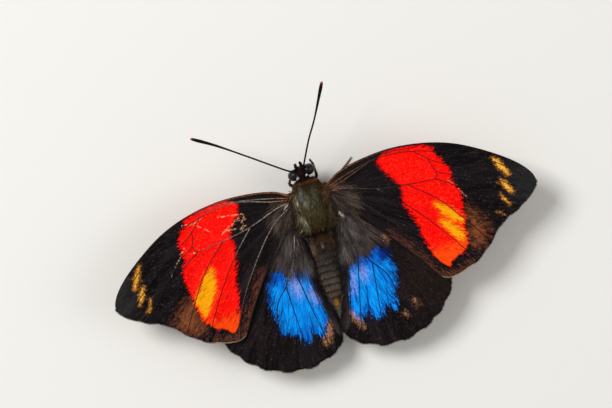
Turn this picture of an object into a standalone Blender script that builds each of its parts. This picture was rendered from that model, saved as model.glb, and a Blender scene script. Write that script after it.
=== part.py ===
"""Agrias butterfly at life size, wings spread flat, standing still on its four walking legs.

Sizes are millimetres. The animal's right is +X, its head points along +Y and the floor is at zero.
At the end the whole animal is moved so that the middle of its footprint is the origin.
"""

import math

import bmesh
import bpy
import numpy as np
from mathutils import Matrix, Vector
from mathutils.geometry import delaunay_2d_cdt

MM = 0.001
GAP = 0.3  # left between two pieces that meet

# Wings, in plan, for the animal's right side
WING_ROOT_X = 4.2
WING_ROOT_Z = 8.0
WING_APART = 1.05  # from the middle of the forewing down to the middle of the hindwing
WING_RISE = 0.06  # slope outwards at the root
WING_TIP_SAG = 0.0008  # how fast the slope is lost on the way out
WING_REAR_SAG = 0.0012
MEMBRANE = 0.5
VEIN_RIDGE = 0.12  # rise of a vein on each face
VEIN_HALF_WIDTH = 0.42
FOREWING_OUTLINE = [
    (4.2, 1.3), (7.0, 2.95), (12.0, 4.1), (18.6, 4.55), (25.5, 3.65), (31.75, 1.6), (38.0, -2.0),
    (43.0, -5.9), (45.4, -9.5), (44.2, -12.1), (40.2, -14.8), (36.6, -16.5), (34.2, -18.6),
    (31.1, -21.5), (27.5, -23.4), (23.9, -24.3), (20.9, -23.1), (17.7, -18.4), (13.9, -13.1),
    (8.3, -7.1), (5.2, -3.6), (4.2, -2.7),
]
HINDWING_OUTLINE = [
    (4.2, -3.3), (7.0, -4.2), (11.5, -7.2), (16.0, -11.5), (20.5, -17.0), (23.2, -21.5),
    (23.4, -25.0), (21.8, -27.7), (19.0, -30.6), (14.9, -33.1), (10.4, -34.2), (6.0, -34.0),
    (2.3, -32.6), (-0.5, -30.2), (-0.6, -27.8), (0.7, -23.5), (2.2, -19.0), (2.7, -15.5),
    (2.7, -12.5), (3.2, -9.6), (3.9, -7.2), (4.2, -6.2),
]
FOREWING_VEINS = {
    "subcosta": [(4.4, 0.6), (7.4, 1.6), (10.8, 2.5), (14.0, 3.2), (18.0, 3.8)],
    "radius": [(14.0, 3.1), (19.3, 3.2), (25.5, 1.9), (31.8, -0.7), (38.5, -4.4), (43.0, -8.4)],
    "median_1": [(23.0, 2.5), (26.5, -0.6), (31.6, -3.4), (37.8, -7.8), (43.2, -12.2)],
    "median_2": [(25.4, 0.4), (26.3, -2.6), (29.5, -4.6), (34.8, -9.4), (39.6, -14.4)],
    "cubitus": [(4.4, -0.4), (7.4, -0.7), (13.6, -2.6), (19.9, -3.6), (25.5, -4.0), (26.3, -2.6)],
    "median_3": [(25.5, -4.0), (29.2, -6.5), (31.8, -10.2), (33.6, -14.0), (36.2, -16.2)],
    "cubital_1": [(19.9, -3.6), (25.5, -8.7), (30.2, -15.2), (32.7, -19.3)],
    "cubital_2": [(13.6, -2.6), (19.2, -8.2), (24.9, -15.6), (29.0, -22.0)],
    "anal": [(4.5, -1.2), (9.9, -4.6), (16.1, -11.7), (20.5, -18.1), (22.4, -22.9)],
}
HINDWING_VEINS = {
    "costal": [(4.5, -4.2), (11.0, -9.0), (17.6, -15.6), (22.6, -22.2)],
    "radial": [(7.2, -7.2), (12.0, -13.0), (17.5, -20.0), (21.4, -26.8)],
    "median_1": [(9.3, -11.6), (13.6, -17.6), (17.4, -24.4), (19.0, -29.4)],
    "median_2": [(9.3, -11.6), (12.7, -17.7), (14.8, -24.3), (15.7, -31.6)],
    "cubitus": [(4.5, -5.4), (5.2, -9.0), (6.4, -13.2), (8.5, -16.9)],
    "median_3": [(8.5, -16.9), (11.0, -20.4), (11.6, -25.9), (11.2, -32.9)],
    "cubital_1": [(8.5, -16.9), (7.8, -23.0), (6.4, -32.9)],
    "cubital_2": [(6.4, -13.2), (4.7, -20.4), (1.8, -31.0)],
    "anal": [(4.4, -6.6), (4.0, -14.0), (2.7, -20.5), (0.3, -29.6)],
}
WING_POSES = {  # swing in degrees and size against the outlines, first the forewing's
    "right": ((0.0, 1.0), (0.0, 1.0)),
    "left": ((-1.7, 0.985), (5.0, 1.015)),  # no animal's two sides are quite alike
}
SWING_CENTRE = (4.2, -2.0)
SWING_REACH = 4.0  # the swing starts at the root and is full this far out
FREE_MARGIN_Y = -6.2  # behind this the hindwing's inner margin is free to swing too
INNER_FOLDS = {  # the hindwing's inner margin bends down and in beside the abdomen
    "right": {"drop": 0.5, "reach": 0.0},
    "left": {"drop": 1.4, "reach": 0.45},
}
FOLD_WIDTH = 2.6
INNER_MARGIN = -9  # the outline's points from here on are the inner margin
FOLD_SHARES = (0.0, 0.0, 0.6, 1.0, 1.0, 1.0, 0.5, 0.0, 0.0)  # of the reach, at each of those points

# Body, as (place along the body, half width, top, bottom)
THORAX_SECTIONS = [
    (3.3, 2.2, 8.0, 4.6), (2.8, 2.9, 8.6, 3.8), (1.8, 3.4, 9.2, 3.1), (0.3, 3.7, 9.6, 2.6),
    (-1.7, 3.75, 9.8, 2.4), (-3.6, 3.65, 9.6, 2.5), (-5.3, 3.4, 9.2, 2.8), (-6.6, 3.0, 8.7, 3.2),
    (-7.5, 2.5, 8.1, 3.7), (-7.85, 2.1, 7.7, 4.0),
]
ABDOMEN_SECTIONS = [
    (-8.15, 2.0, 7.5, 4.0), (-8.8, 2.5, 7.9, 3.6), (-11.0, 2.65, 7.9, 3.3),
    (-14.0, 2.55, 7.6, 3.2), (-17.0, 2.35, 7.2, 3.1), (-19.5, 2.0, 6.7, 3.2),
    (-21.5, 1.4, 6.1, 3.4), (-23.0, 0.65, 5.4, 3.9), (-23.7, 0.25, 5.0, 4.3),
]
ABDOMEN_BEND = -0.75  # the tip lies this far to the left
RING_PLACES = (-11.8, -13.2, -14.6, -16.0, -17.4, -18.8, -20.2, -21.5)
RING_STEP = 0.05  # share of the width by which a ring overhangs the next
HINGE_BLOCK = ((3.0, 3.9), (-6.3, 1.6), (6.95, 8.95))  # where the wings are hung, right side

# Head, in its own frame round its centre
HEAD_AT = Vector((-0.2, 5.0, 6.5))
HEAD_TURN = math.radians(8.0)
HEAD_HALF = (1.75, 1.3, 1.75)
EYE_HALF = (1.5, 1.2, 1.5)
EYE_CENTRE_X = 1.45
EYE_SEAT_X = 1.05
NECK_RADIUS = 0.95
NECK_X = -0.15
NECK_END_Y = 3.5

# Antennae, palps and proboscis
ANTENNA_STUB = 0.3
ANTENNA_RADII = (0.27, 0.25, 0.25, 0.25, 0.26, 0.3, 0.38, 0.38, 0.28)  # swelling to a slim club
ANTENNA_PATHS = {
    "left": [(-1.35, 5.8, 8.3), (-2.75, 6.0, 8.8), (-9.4, 10.8, 10.8), (-15.3, 15.0, 12.3),
             (-19.9, 17.8, 13.6)],
    "right": [(0.65, 6.15, 8.35), (1.05, 6.95, 9.1), (3.2, 11.0, 12.0), (5.5, 14.7, 14.6),
              (8.9, 21.1, 19.0)],
}
ANTENNA_SOCKET = {"left": (-0.8, 5.4, 7.4), "right": (0.3, 5.6, 7.4)}
PALP_PATH = [(0.6, 1.12, -1.7), (0.6, 1.38, -1.76), (0.56, 1.84, -1.1), (0.5, 1.88, 0.1)]
PALP_SOCKET = (0.6, 0.25, -1.5)  # this and the path above are in the head's frame
PALP_RADIUS = 0.3
PROBOSCIS_RADIUS = 0.25
PROBOSCIS_COIL = 1.05
PROBOSCIS_AT = Vector((0.0, -0.4, -3.2))  # middle of the coil, in the head's frame
PROBOSCIS_TOP_Z = -2.3

# Legs, as the socket's inner point, its outer end, then the points down to the claws
LEG_SOCKET_RADIUS = 0.5
LEG_RADII = (0.45, 0.42, 0.3, 0.27, 0.26)
LEG_STRAIGHT = 0.35  # a leg leaves its socket in line with it for this long
KNEE_CUT = 0.4  # a joint is rounded off this far before and behind it
FOOT_Z = 0.2  # height of the foot's middle line, so that the floor cuts a flat along it
LEG_PATHS = {
    "midleg_right": [(1.2, -0.9, 4.0), (2.7, -0.6, 3.1), (5.9, 1.7, 5.0), (8.1, 3.2, 1.0),
                     (9.0, 3.85, FOOT_Z), (10.6, 5.05, FOOT_Z)],
    "midleg_left": [(-1.2, -0.9, 4.0), (-2.7, -0.6, 3.1), (-6.2, 0.4, 5.0), (-8.6, 1.0, 1.0),
                    (-9.6, 1.3, FOOT_Z), (-11.6, 1.9, FOOT_Z)],
    "hindleg_right": [(1.1, -4.3, 4.0), (2.4, -4.8, 3.2), (5.2, -8.4, 4.9), (7.2, -13.2, 1.0),
                      (7.7, -14.3, FOOT_Z), (8.6, -16.4, FOOT_Z)],
    "hindleg_left": [(-1.1, -4.3, 4.0), (-2.4, -4.8, 3.2), (-5.5, -8.1, 4.9), (-7.8, -12.7, 1.0),
                     (-8.4, -13.8, FOOT_Z), (-9.5, -15.8, FOOT_Z)],
    "foreleg_right": [(1.0, 1.2, 4.4), (1.75, 2.2, 3.5), (2.7, 3.6, 3.8), (2.65, 4.9, 4.35),
                      (2.6, 6.0, 5.3), (2.2, 7.0, 6.0)],
    "foreleg_left": [(-1.0, 1.2, 4.4), (-1.75, 2.2, 3.5), (-3.35, 3.2, 4.4), (-2.8, 4.2, 4.0),
                     (-2.1, 4.9, 3.6), (-1.5, 5.5, 3.2)],
}

FINISHES = {  # base colour, roughness
    "forewing": ((0.030, 0.020, 0.022), 0.75),
    "hindwing": ((0.030, 0.025, 0.030), 0.75),
    "body_fur": ((0.160, 0.130, 0.100), 0.85),
    "abdomen_scales": ((0.120, 0.100, 0.090), 0.8),
    "head_scales": ((0.060, 0.045, 0.040), 0.8),
    "eye": ((0.030, 0.022, 0.035), 0.2),
    "antenna": ((0.020, 0.016, 0.015), 0.5),
    "leg": ((0.200, 0.130, 0.090), 0.6),
    "palp": ((0.080, 0.050, 0.040), 0.8),
    "proboscis": ((0.120, 0.060, 0.030), 0.3),
}


def clear_scene():
    for obj in list(bpy.data.objects):
        bpy.data.objects.remove(obj, do_unlink=True)


def collection_named(name):
    made = bpy.data.collections.new(name)
    bpy.context.scene.collection.children.link(made)
    return made


def material(kind):
    """The Principled finish of one kind of surface, made once."""
    if kind in bpy.data.materials:
        return bpy.data.materials[kind]
    colour, roughness = FINISHES[kind]
    made = bpy.data.materials.new(kind)
    made.use_nodes = True
    shader = made.node_tree.nodes["Principled BSDF"]
    shader.inputs["Base Color"].default_value = (*colour, 1.0)
    shader.inputs["Roughness"].default_value = roughness
    shader.inputs["Metallic"].default_value = 0.0
    return made


def mesh_object(name, points, faces):
    """A mesh object from points in millimetres."""
    mesh = bpy.data.meshes.new(name)
    mesh.from_pydata([tuple(MM * c for c in p) for p in points], [], faces)
    obj = bpy.data.objects.new(name, mesh)
    bpy.context.scene.collection.objects.link(obj)
    return obj


def smooth_path(points, step, closed=False):
    """Points about one step apart on the Catmull-Rom curve through the given ones."""
    known = [Vector(p) for p in points]
    count = len(known)
    spans = count if closed else count - 1
    path = []
    for i in range(spans):
        b, c = known[i], known[(i + 1) % count]
        a = known[i - 1] if closed or i else b + b - c
        d = known[(i + 2) % count] if closed or i + 2 < count else c + c - b
        parts = max(1, round((c - b).length / step))
        for k in range(parts):
            t = k / parts
            bend = (2 * a - 5 * b + 4 * c - d) * t * t + (3 * (b - c) + d - a) * t ** 3
            path.append(b + 0.5 * ((c - a) * t + bend))
    if not closed:
        path.append(known[-1])
    return path


def shade(obj):
    obj.data.shade_smooth()
    obj.data.set_sharp_from_angle(angle=math.radians(40))


def finish_node(obj, name, kind, nodes):
    """Names, paints and files one finished node."""
    obj.name = name
    obj.data.materials.clear()
    obj.data.materials.append(material(kind))
    shade(obj)
    for holder in list(obj.users_collection):
        holder.objects.unlink(obj)
    nodes.objects.link(obj)


def fuse(pieces):
    """Joins closed pieces by one Boolean union and keeps the largest closed surface."""
    base, others = pieces[0], pieces[1:]
    group = collection_named("fusing")
    for piece in others:
        group.objects.link(piece)
    union = base.modifiers.new("union", "BOOLEAN")
    union.operation = "UNION"
    union.operand_type = "COLLECTION"
    union.collection = group
    union.solver = "EXACT"
    graph = bpy.context.evaluated_depsgraph_get()
    joined = bpy.data.meshes.new_from_object(base.evaluated_get(graph))
    for piece in pieces:
        bpy.data.objects.remove(piece, do_unlink=True)
    bpy.data.collections.remove(group)
    made = bpy.data.objects.new("fused", joined)
    bpy.context.scene.collection.objects.link(made)
    keep_largest(made)
    return made


def keep_largest(obj):
    work = bmesh.new()
    work.from_mesh(obj.data)
    left = set(work.verts)
    islands = []
    while left:
        reached = [left.pop()]
        island = []
        while reached:
            vert = reached.pop()
            island.append(vert)
            for edge in vert.link_edges:
                other = edge.other_vert(vert)
                if other in left:
                    left.remove(other)
                    reached.append(other)
        islands.append(island)
    islands.sort(key=len)
    for island in islands[:-1]:
        bmesh.ops.delete(work, geom=island, context="VERTS")
    work.to_mesh(obj.data)
    work.free()


def loft(name, rings):
    """A closed body through rings of points, from front to back, flat at both ends."""
    sides = len(rings[0])
    points = [p for ring in rings for p in ring]
    faces = [tuple(reversed(range(sides))), tuple(range(len(points) - sides, len(points)))]
    for i in range(len(rings) - 1):
        for k in range(sides):
            near, far = i * sides, (i + 1) * sides
            step = (k + 1) % sides
            faces.append((near + k, near + step, far + step, far + k))
    return mesh_object(name, points, faces)


def body_ring(x, y, half_width, top, bottom, sides):
    """One upright oval of the body, seen from the front."""
    middle, half_height = (top + bottom) / 2, (top - bottom) / 2
    turn = [2 * math.pi * k / sides for k in range(sides)]
    return [(x + half_width * math.cos(a), y, middle + half_height * math.sin(a)) for a in turn]


def tube(name, path, radii):
    """A tapered tube with flat ends, its radii spread evenly along the path."""
    curve = bpy.data.curves.new(name, "CURVE")
    curve.dimensions = "3D"
    curve.bevel_depth = MM
    curve.bevel_resolution = 2
    curve.use_fill_caps = True
    spline = curve.splines.new("POLY")
    spline.points.add(len(path) - 1)
    places = np.linspace(0, len(radii) - 1, len(path))
    for point, place, at in zip(spline.points, path, places):
        point.co = (*(MM * c for c in place), 1.0)
        point.radius = float(np.interp(at, range(len(radii)), radii))
    drawn = bpy.data.objects.new(name, curve)
    bpy.context.scene.collection.objects.link(drawn)
    graph = bpy.context.evaluated_depsgraph_get()
    mesh = bpy.data.meshes.new_from_object(drawn.evaluated_get(graph))
    work = bmesh.new()
    work.from_mesh(mesh)
    bmesh.ops.remove_doubles(work, verts=work.verts, dist=0.001 * MM)
    bmesh.ops.recalc_face_normals(work, faces=work.faces)
    work.to_mesh(mesh)
    work.free()
    made = bpy.data.objects.new(name, mesh)
    bpy.context.scene.collection.objects.link(made)
    made.matrix_world = drawn.matrix_world
    bpy.data.objects.remove(drawn, do_unlink=True)
    return made


def ball(name, half_sizes, at, across, up):
    """An oval ball round a point, in the head's frame."""
    work = bmesh.new()
    bmesh.ops.create_uvsphere(work, u_segments=across, v_segments=up, radius=1.0)
    lie = Matrix.Rotation(math.pi / 2, 4, "Y")
    bmesh.ops.transform(work, matrix=lie, verts=work.verts)
    for vert in work.verts:
        vert.co = MM * (Vector(at) + Vector(c * h for c, h in zip(vert.co, half_sizes)))
    mesh = bpy.data.meshes.new(name)
    work.to_mesh(mesh)
    work.free()
    obj = bpy.data.objects.new(name, mesh)
    bpy.context.scene.collection.objects.link(obj)
    return obj


def slice_off(obj, at, normal):
    """Cuts away what lies on the side that the normal points to, and closes the cut."""
    work = bmesh.new()
    work.from_mesh(obj.data)
    geometry = list(work.verts) + list(work.edges) + list(work.faces)
    bmesh.ops.bisect_plane(
        work, geom=geometry, plane_co=MM * Vector(at), plane_no=normal, clear_outer=True
    )
    rim = [edge for edge in work.edges if edge.is_boundary]
    bmesh.ops.holes_fill(work, edges=rim, sides=0)
    bmesh.ops.recalc_face_normals(work, faces=work.faces)
    work.to_mesh(obj.data)
    work.free()


def head_matrix():
    return Matrix.Translation(MM * HEAD_AT) @ Matrix.Rotation(HEAD_TURN, 4, "Z")


def in_head(point, side=1):
    """A point of the head's own frame, in the animal's, in millimetres."""
    x, y, z = point
    return Matrix.Rotation(HEAD_TURN, 4, "Z") @ Vector((side * x, y, z)) + HEAD_AT


def wing_level(x, y):
    """Height of the surface that lies midway between the forewing and the hindwing."""
    out = max(abs(x) - WING_ROOT_X, 0.0)
    rear = min(y, 0.0)
    return WING_ROOT_Z + WING_RISE * out - WING_TIP_SAG * out ** 2 - WING_REAR_SAG * rear ** 2


def inside(point, outline):
    x, y = point[0], point[1]
    hit = False
    for a, b in zip(outline, outline[1:] + outline[:1]):
        if (a[1] > y) != (b[1] > y) and x < a[0] + (y - a[1]) * (b[0] - a[0]) / (b[1] - a[1]):
            hit = not hit
    return hit


def distance_to_path(point, path):
    """Shortest distance from a point to a line through the path's points."""
    best = math.inf
    for a, b in zip(path, path[1:]):
        along = b - a
        t = max(0.0, min(1.0, (point - a).dot(along) / along.dot(along)))
        best = min(best, (a + t * along - point).length)
    return best


def wing_points(outline, crests):
    """The wing's points in plan: its edge, each vein's crest and feet, and a loose fill."""
    edge_space, foot_space, fill_step, fill_space = 0.3, 0.3, 3.2, 1.3
    rim = outline + outline[:1]
    kept = list(outline)
    edges = []
    for crest in crests:
        last = None
        for p in crest:
            near = [i for i, q in enumerate(kept) if (q - p).length < foot_space]
            if near:
                index = near[0]
            elif inside(p, outline) and distance_to_path(p, rim) > edge_space:
                index = len(kept)
                kept.append(p)
            else:
                last = None
                continue
            if last is not None and last != index:
                edges.append((last, index))
            last = index
    for crest in crests:
        for a, b in zip(crest, crest[1:]):
            along = (b - a).normalized()
            across = Vector((-along.y, along.x)) * VEIN_HALF_WIDTH
            for p in ((a + b) / 2 + across, (a + b) / 2 - across):
                clear = all((q - p).length > foot_space for q in kept)
                if clear and inside(p, outline) and distance_to_path(p, rim) > edge_space:
                    kept.append(p)
    low = [min(p[i] for p in outline) for i in (0, 1)]
    high = [max(p[i] for p in outline) for i in (0, 1)]
    for x in np.arange(low[0], high[0], fill_step):
        for y in np.arange(low[1], high[1], fill_step):
            p = Vector((float(x), float(y)))
            clear = all((q - p).length > fill_space for q in kept)
            if clear and inside(p, outline) and distance_to_path(p, rim) > fill_space:
                kept.append(p)
    return kept, edges


def swung(point, side, swing, share):
    """A wing's point after the wing is swung about its root and put on its side of the body."""
    free = (point.x - WING_ROOT_X) / SWING_REACH + max(0, FREE_MARGIN_Y - point.y)
    reach = max(0.0, min(1.0, free))
    turn = Matrix.Rotation(math.radians(swing) * reach, 2)
    root = Vector(SWING_CENTRE)
    x, y = root + (1 + (share - 1) * reach) * (turn @ (point - root))
    return side * x, y


def folded_outline(reach):
    """The hindwing's edge with its inner margin drawn further in."""
    outer, inner = HINDWING_OUTLINE[:INNER_MARGIN], HINDWING_OUTLINE[INNER_MARGIN:]
    return outer + [(x - reach * share, y) for (x, y), share in zip(inner, FOLD_SHARES)]


def wing(outline_points, veins, side, lift, swing, share, drop=0.0):
    """A thin wing, split into triangles alike on both faces, with its veins as ridges."""
    edge_step, vein_step = 1.5, 2.2
    outline = smooth_path(outline_points[:-1], edge_step) + [Vector(outline_points[-1])]
    crests = [smooth_path(path, vein_step) for path in veins.values()]
    inner_margin = [Vector(p) for p in outline_points[INNER_MARGIN:]]
    points, edges = wing_points(outline, crests)
    ring = [tuple(range(len(outline)))]
    flat, _, triangles, *_ = delaunay_2d_cdt(points, edges, ring, 1, 1e-5)
    top, bottom = [], []
    for p in flat:
        ridge = max(0.0, 1 - min(distance_to_path(p, c) for c in crests) / VEIN_HALF_WIDTH)
        half = MEMBRANE / 2 + VEIN_RIDGE * ridge
        x, y = swung(p, side, swing, share)
        z = wing_level(x, y) + lift
        if drop:
            bend = max(0.0, 1 - distance_to_path(p, inner_margin) / FOLD_WIDTH)
            z -= drop * bend * bend
        top.append((x, y, z + half))
        bottom.append((x, y, z - half))
    count = len(flat)
    faces = []
    uses = {}
    for a, b, c in triangles:
        if (flat[b] - flat[a]).cross(flat[c] - flat[a]) < 0:
            b, c = c, b
        faces.append((a, b, c))
        faces.append((c + count, b + count, a + count))
        for edge in ((a, b), (b, c), (c, a)):
            uses[edge] = True
    for a, b in uses:
        if (b, a) not in uses:
            faces.append((a, a + count, b))
            faces.append((b, a + count, b + count))
    if side < 0:
        faces = [tuple(reversed(face)) for face in faces]
    return mesh_object("wing", top + bottom, faces)


def make_wings(nodes):
    apart = WING_APART / 2
    for word, side in (("right", 1), ("left", -1)):
        fore_pose, hind_pose = WING_POSES[word]
        fold = INNER_FOLDS[word]
        folded = folded_outline(fold["reach"])
        fore = wing(FOREWING_OUTLINE, FOREWING_VEINS, side, apart, *fore_pose)
        finish_node(fore, f"forewing_{word}", "forewing", nodes)
        hind = wing(folded, HINDWING_VEINS, side, -apart, *hind_pose, fold["drop"])
        finish_node(hind, f"hindwing_{word}", "hindwing", nodes)


def between(sections, y):
    """The body's section at a place along it, as half width, top and bottom."""
    places = [-section[0] for section in sections]
    return [float(np.interp(-y, places, [s[i] for s in sections])) for i in (1, 2, 3)]


def socket(name, start, end, radius):
    """A short round stub that a limb is hung on, its flat end facing the limb."""
    return tube(name, [Vector(start), Vector(end)], (radius, radius))


def hinge_block(side):
    """The raised plate on the thorax's flank whose flat face meets both wing roots."""
    (x0, x1), (y0, y1), (z0, z1) = HINGE_BLOCK
    work = bmesh.new()
    bmesh.ops.create_cube(work, size=1.0)
    size, middle = (x1 - x0, y1 - y0, z1 - z0), (side * (x0 + x1) / 2, (y0 + y1) / 2, (z0 + z1) / 2)
    for vert in work.verts:
        vert.co = MM * Vector(m + c * s for m, c, s in zip(middle, vert.co, size))
    bmesh.ops.bevel(work, geom=work.edges, offset=0.25 * MM, segments=2, affect="EDGES")
    mesh = bpy.data.meshes.new("hinge")
    work.to_mesh(mesh)
    work.free()
    obj = bpy.data.objects.new("hinge", mesh)
    bpy.context.scene.collection.objects.link(obj)
    return obj


def make_thorax(nodes):
    sides = 28
    path = smooth_path(THORAX_SECTIONS, 0.75)
    rings = [body_ring(0.0, p[0], p[1], p[2], p[3], sides) for p in map(tuple, path)]
    pieces = [loft("core", rings)]
    pieces += [hinge_block(side) for side in (1, -1)]
    for name, points in LEG_PATHS.items():
        pieces.append(socket(name + "_socket", points[0], points[1], LEG_SOCKET_RADIUS))
    finish_node(fuse(pieces), "thorax", "body_fur", nodes)


def make_abdomen(nodes):
    """The abdomen's rings each overhang the next, like tiles."""
    sides, first, last = 24, ABDOMEN_SECTIONS[0][0], ABDOMEN_SECTIONS[-1][0]
    plain = [p[0] for p in smooth_path(ABDOMEN_SECTIONS, 0.8)]
    places = [y for y in plain if y > RING_PLACES[0] + 0.3 or y < RING_PLACES[-1] - 0.3]
    for y in RING_PLACES:
        places += [y + 0.7, y + 0.08, y - 0.08]
    rings = []
    for y in sorted(set(places), reverse=True):
        half_width, top, bottom = between(ABDOMEN_SECTIONS, y)
        behind = [r for r in RING_PLACES if r <= y]
        ahead = [r for r in RING_PLACES if r > y]
        swell = 0.0
        if behind:
            start = ahead[-1] if ahead else RING_PLACES[0] + 1.6
            swell = RING_STEP * max(0.0, min(1.0, (start - y) / (start - behind[0])))
        x = ABDOMEN_BEND * max(0.0, (first - y) / (first - last)) ** 1.5
        grow = swell * (top - bottom) / 2
        rings.append(body_ring(x, y, half_width * (1 + swell), top + grow, bottom - grow, sides))
    finish_node(loft("abdomen", rings), "abdomen", "abdomen_scales", nodes)


def make_head(nodes):
    core = ball("core", HEAD_HALF, (0, 0, 0), 20, 14)
    for side in (1, -1):
        slice_off(core, (side * EYE_SEAT_X, 0, 0), (side, 0, 0))
    core.data.transform(head_matrix())
    neck_start = Vector((NECK_X, HEAD_AT.y, HEAD_AT.z - 0.1))
    neck_end = Vector((NECK_X, NECK_END_Y, neck_start.z))
    pieces = [core, socket("neck", neck_start, neck_end, NECK_RADIUS)]
    for word, side in (("left", -1), ("right", 1)):
        path = ANTENNA_PATHS[word]
        stub = short_of(path[0], ANTENNA_SOCKET[word])
        pieces.append(socket("antenna_socket", ANTENNA_SOCKET[word], stub, ANTENNA_STUB))
        start, end = in_head(PALP_SOCKET, side), in_head(PALP_PATH[0], side)
        pieces.append(socket("palp_socket", start, short_of(end, start), PALP_RADIUS))
    tongue = proboscis_path()[0]
    start = tongue + Vector((0.0, 0.0, 1.3))
    pieces.append(socket("mouth", start, short_of(tongue, start), 0.36))
    finish_node(fuse(pieces), "head", "head_scales", nodes)


def short_of(end, start):
    """The point one gap before the end, coming from the start."""
    end, start = Vector(end), Vector(start)
    return end - GAP * (end - start).normalized()


def past(start, end):
    """The point one gap beyond the end, coming from the start."""
    end, start = Vector(end), Vector(start)
    return end + GAP * (end - start).normalized()


def make_eyes(nodes):
    for word, side in (("left", -1), ("right", 1)):
        eye = ball("eye", EYE_HALF, (side * EYE_CENTRE_X, 0, 0), 24, 16)
        slice_off(eye, (side * (EYE_SEAT_X + GAP), 0, 0), (-side, 0, 0))
        eye.data.transform(head_matrix())
        finish_node(eye, f"eye_{word}", "eye", nodes)


def make_antennae(nodes):
    for word, points in ANTENNA_PATHS.items():
        start = Vector(points[0])
        straight = start + 0.3 * (start - Vector(ANTENNA_SOCKET[word])).normalized()
        path = [start, *smooth_path([straight, *points[1:]], 1.1)]
        finish_node(tube("antenna", path, ANTENNA_RADII), f"antenna_{word}", "antenna", nodes)


def make_palps(nodes):
    for word, side in (("left", -1), ("right", 1)):
        path = smooth_path([in_head(p, side) for p in PALP_PATH], 0.35)
        radii = (PALP_RADIUS, PALP_RADIUS, 0.28, 0.2)
        finish_node(tube("palp", path, radii), f"palp_{word}", "palp", nodes)


def proboscis_path():
    """The rolled-up tongue, from the mouth round to its tip."""
    turns, steps = 1.25, 26
    path = [in_head((0.0, PROBOSCIS_AT.y + PROBOSCIS_COIL, PROBOSCIS_TOP_Z))]
    for k in range(steps + 1):
        share = k / steps
        angle = -2 * math.pi * turns * share
        radius = PROBOSCIS_COIL * (1 - 0.62 * share)
        across = Vector((0.0, math.cos(angle) * radius, math.sin(angle) * radius))
        path.append(in_head(PROBOSCIS_AT + across))
    return path


def make_proboscis(nodes):
    radii = (0.27, PROBOSCIS_RADIUS, PROBOSCIS_RADIUS, 0.2)
    finish_node(tube("proboscis", proboscis_path(), radii), "proboscis", "proboscis", nodes)


def make_legs(nodes):
    for name, points in LEG_PATHS.items():
        hip = past(points[0], points[1])
        straight = hip + LEG_STRAIGHT * (Vector(points[1]) - Vector(points[0])).normalized()
        path = [hip, straight]
        for before, joint, after in zip([straight, *points[2:]], points[2:], points[3:]):
            before, joint, after = Vector(before), Vector(joint), Vector(after)
            path.append(joint - KNEE_CUT * (joint - before).normalized())
            path.append(joint + KNEE_CUT * (after - joint).normalized())
        path.append(Vector(points[-1]))
        leg = tube("leg", path, LEG_RADII)
        if not name.startswith("foreleg"):
            slice_off(leg, (0, 0, 0), (0, 0, -1))
        finish_node(leg, name, "leg", nodes)


def centre_on_floor(nodes):
    """Moves the animal so that the middle of its footprint is the origin, on the floor."""
    holder = bpy.data.objects.new("agrias_frame", None)
    nodes.objects.link(holder)
    spots = [v.co for obj in nodes.objects if obj.type == "MESH" for v in obj.data.vertices]
    low = [min(p[i] for p in spots) for i in (0, 1)]
    high = [max(p[i] for p in spots) for i in (0, 1)]
    for obj in nodes.objects:
        if obj is not holder:
            obj.parent = holder
    holder.location = (-(low[0] + high[0]) / 2, -(low[1] + high[1]) / 2, 0.0)


def main():
    clear_scene()
    nodes = collection_named("agrias_butterfly")
    make_thorax(nodes)
    make_abdomen(nodes)
    make_head(nodes)
    make_eyes(nodes)
    make_antennae(nodes)
    make_palps(nodes)
    make_proboscis(nodes)
    make_legs(nodes)
    make_wings(nodes)
    centre_on_floor(nodes)


main()
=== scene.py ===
"""Looks of the agrias butterfly: scaled wings, fur, eyes, feelers, legs, floor, light and camera.

Places are millimetres in the animal's own measures, as in its solids: +X to its right, +Y ahead, floor at
zero, the thorax over the middle. Wing places are out from the body's middle line and ahead, for each side.
"""

import math

import bpy
import numpy as np
from mathutils import Matrix, Vector, noise
from mathutils.geometry import delaunay_2d_cdt


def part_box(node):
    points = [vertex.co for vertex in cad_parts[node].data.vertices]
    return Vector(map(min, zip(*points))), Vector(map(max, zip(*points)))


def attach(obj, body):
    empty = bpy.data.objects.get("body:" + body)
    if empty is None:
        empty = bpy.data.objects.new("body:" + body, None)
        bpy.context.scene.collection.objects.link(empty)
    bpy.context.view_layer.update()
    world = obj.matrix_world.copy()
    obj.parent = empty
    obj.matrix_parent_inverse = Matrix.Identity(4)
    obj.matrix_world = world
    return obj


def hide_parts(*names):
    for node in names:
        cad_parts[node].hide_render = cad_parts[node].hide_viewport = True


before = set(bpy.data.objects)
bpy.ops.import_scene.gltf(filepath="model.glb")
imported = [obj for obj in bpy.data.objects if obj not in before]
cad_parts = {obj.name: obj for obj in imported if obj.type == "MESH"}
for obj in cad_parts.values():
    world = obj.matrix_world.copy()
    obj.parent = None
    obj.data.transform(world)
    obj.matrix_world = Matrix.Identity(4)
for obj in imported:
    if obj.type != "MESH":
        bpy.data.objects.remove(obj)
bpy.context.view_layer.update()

MM = 0.001
THORAX_REAR_Y = -7.85
thorax_low, thorax_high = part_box("thorax")
MIDDLE = np.array(
    [(thorax_low.x + thorax_high.x) / 2, thorax_low.y - MM * THORAX_REAR_Y, 0.0]
)  # where the design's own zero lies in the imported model
rng = np.random.default_rng(7)

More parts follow.
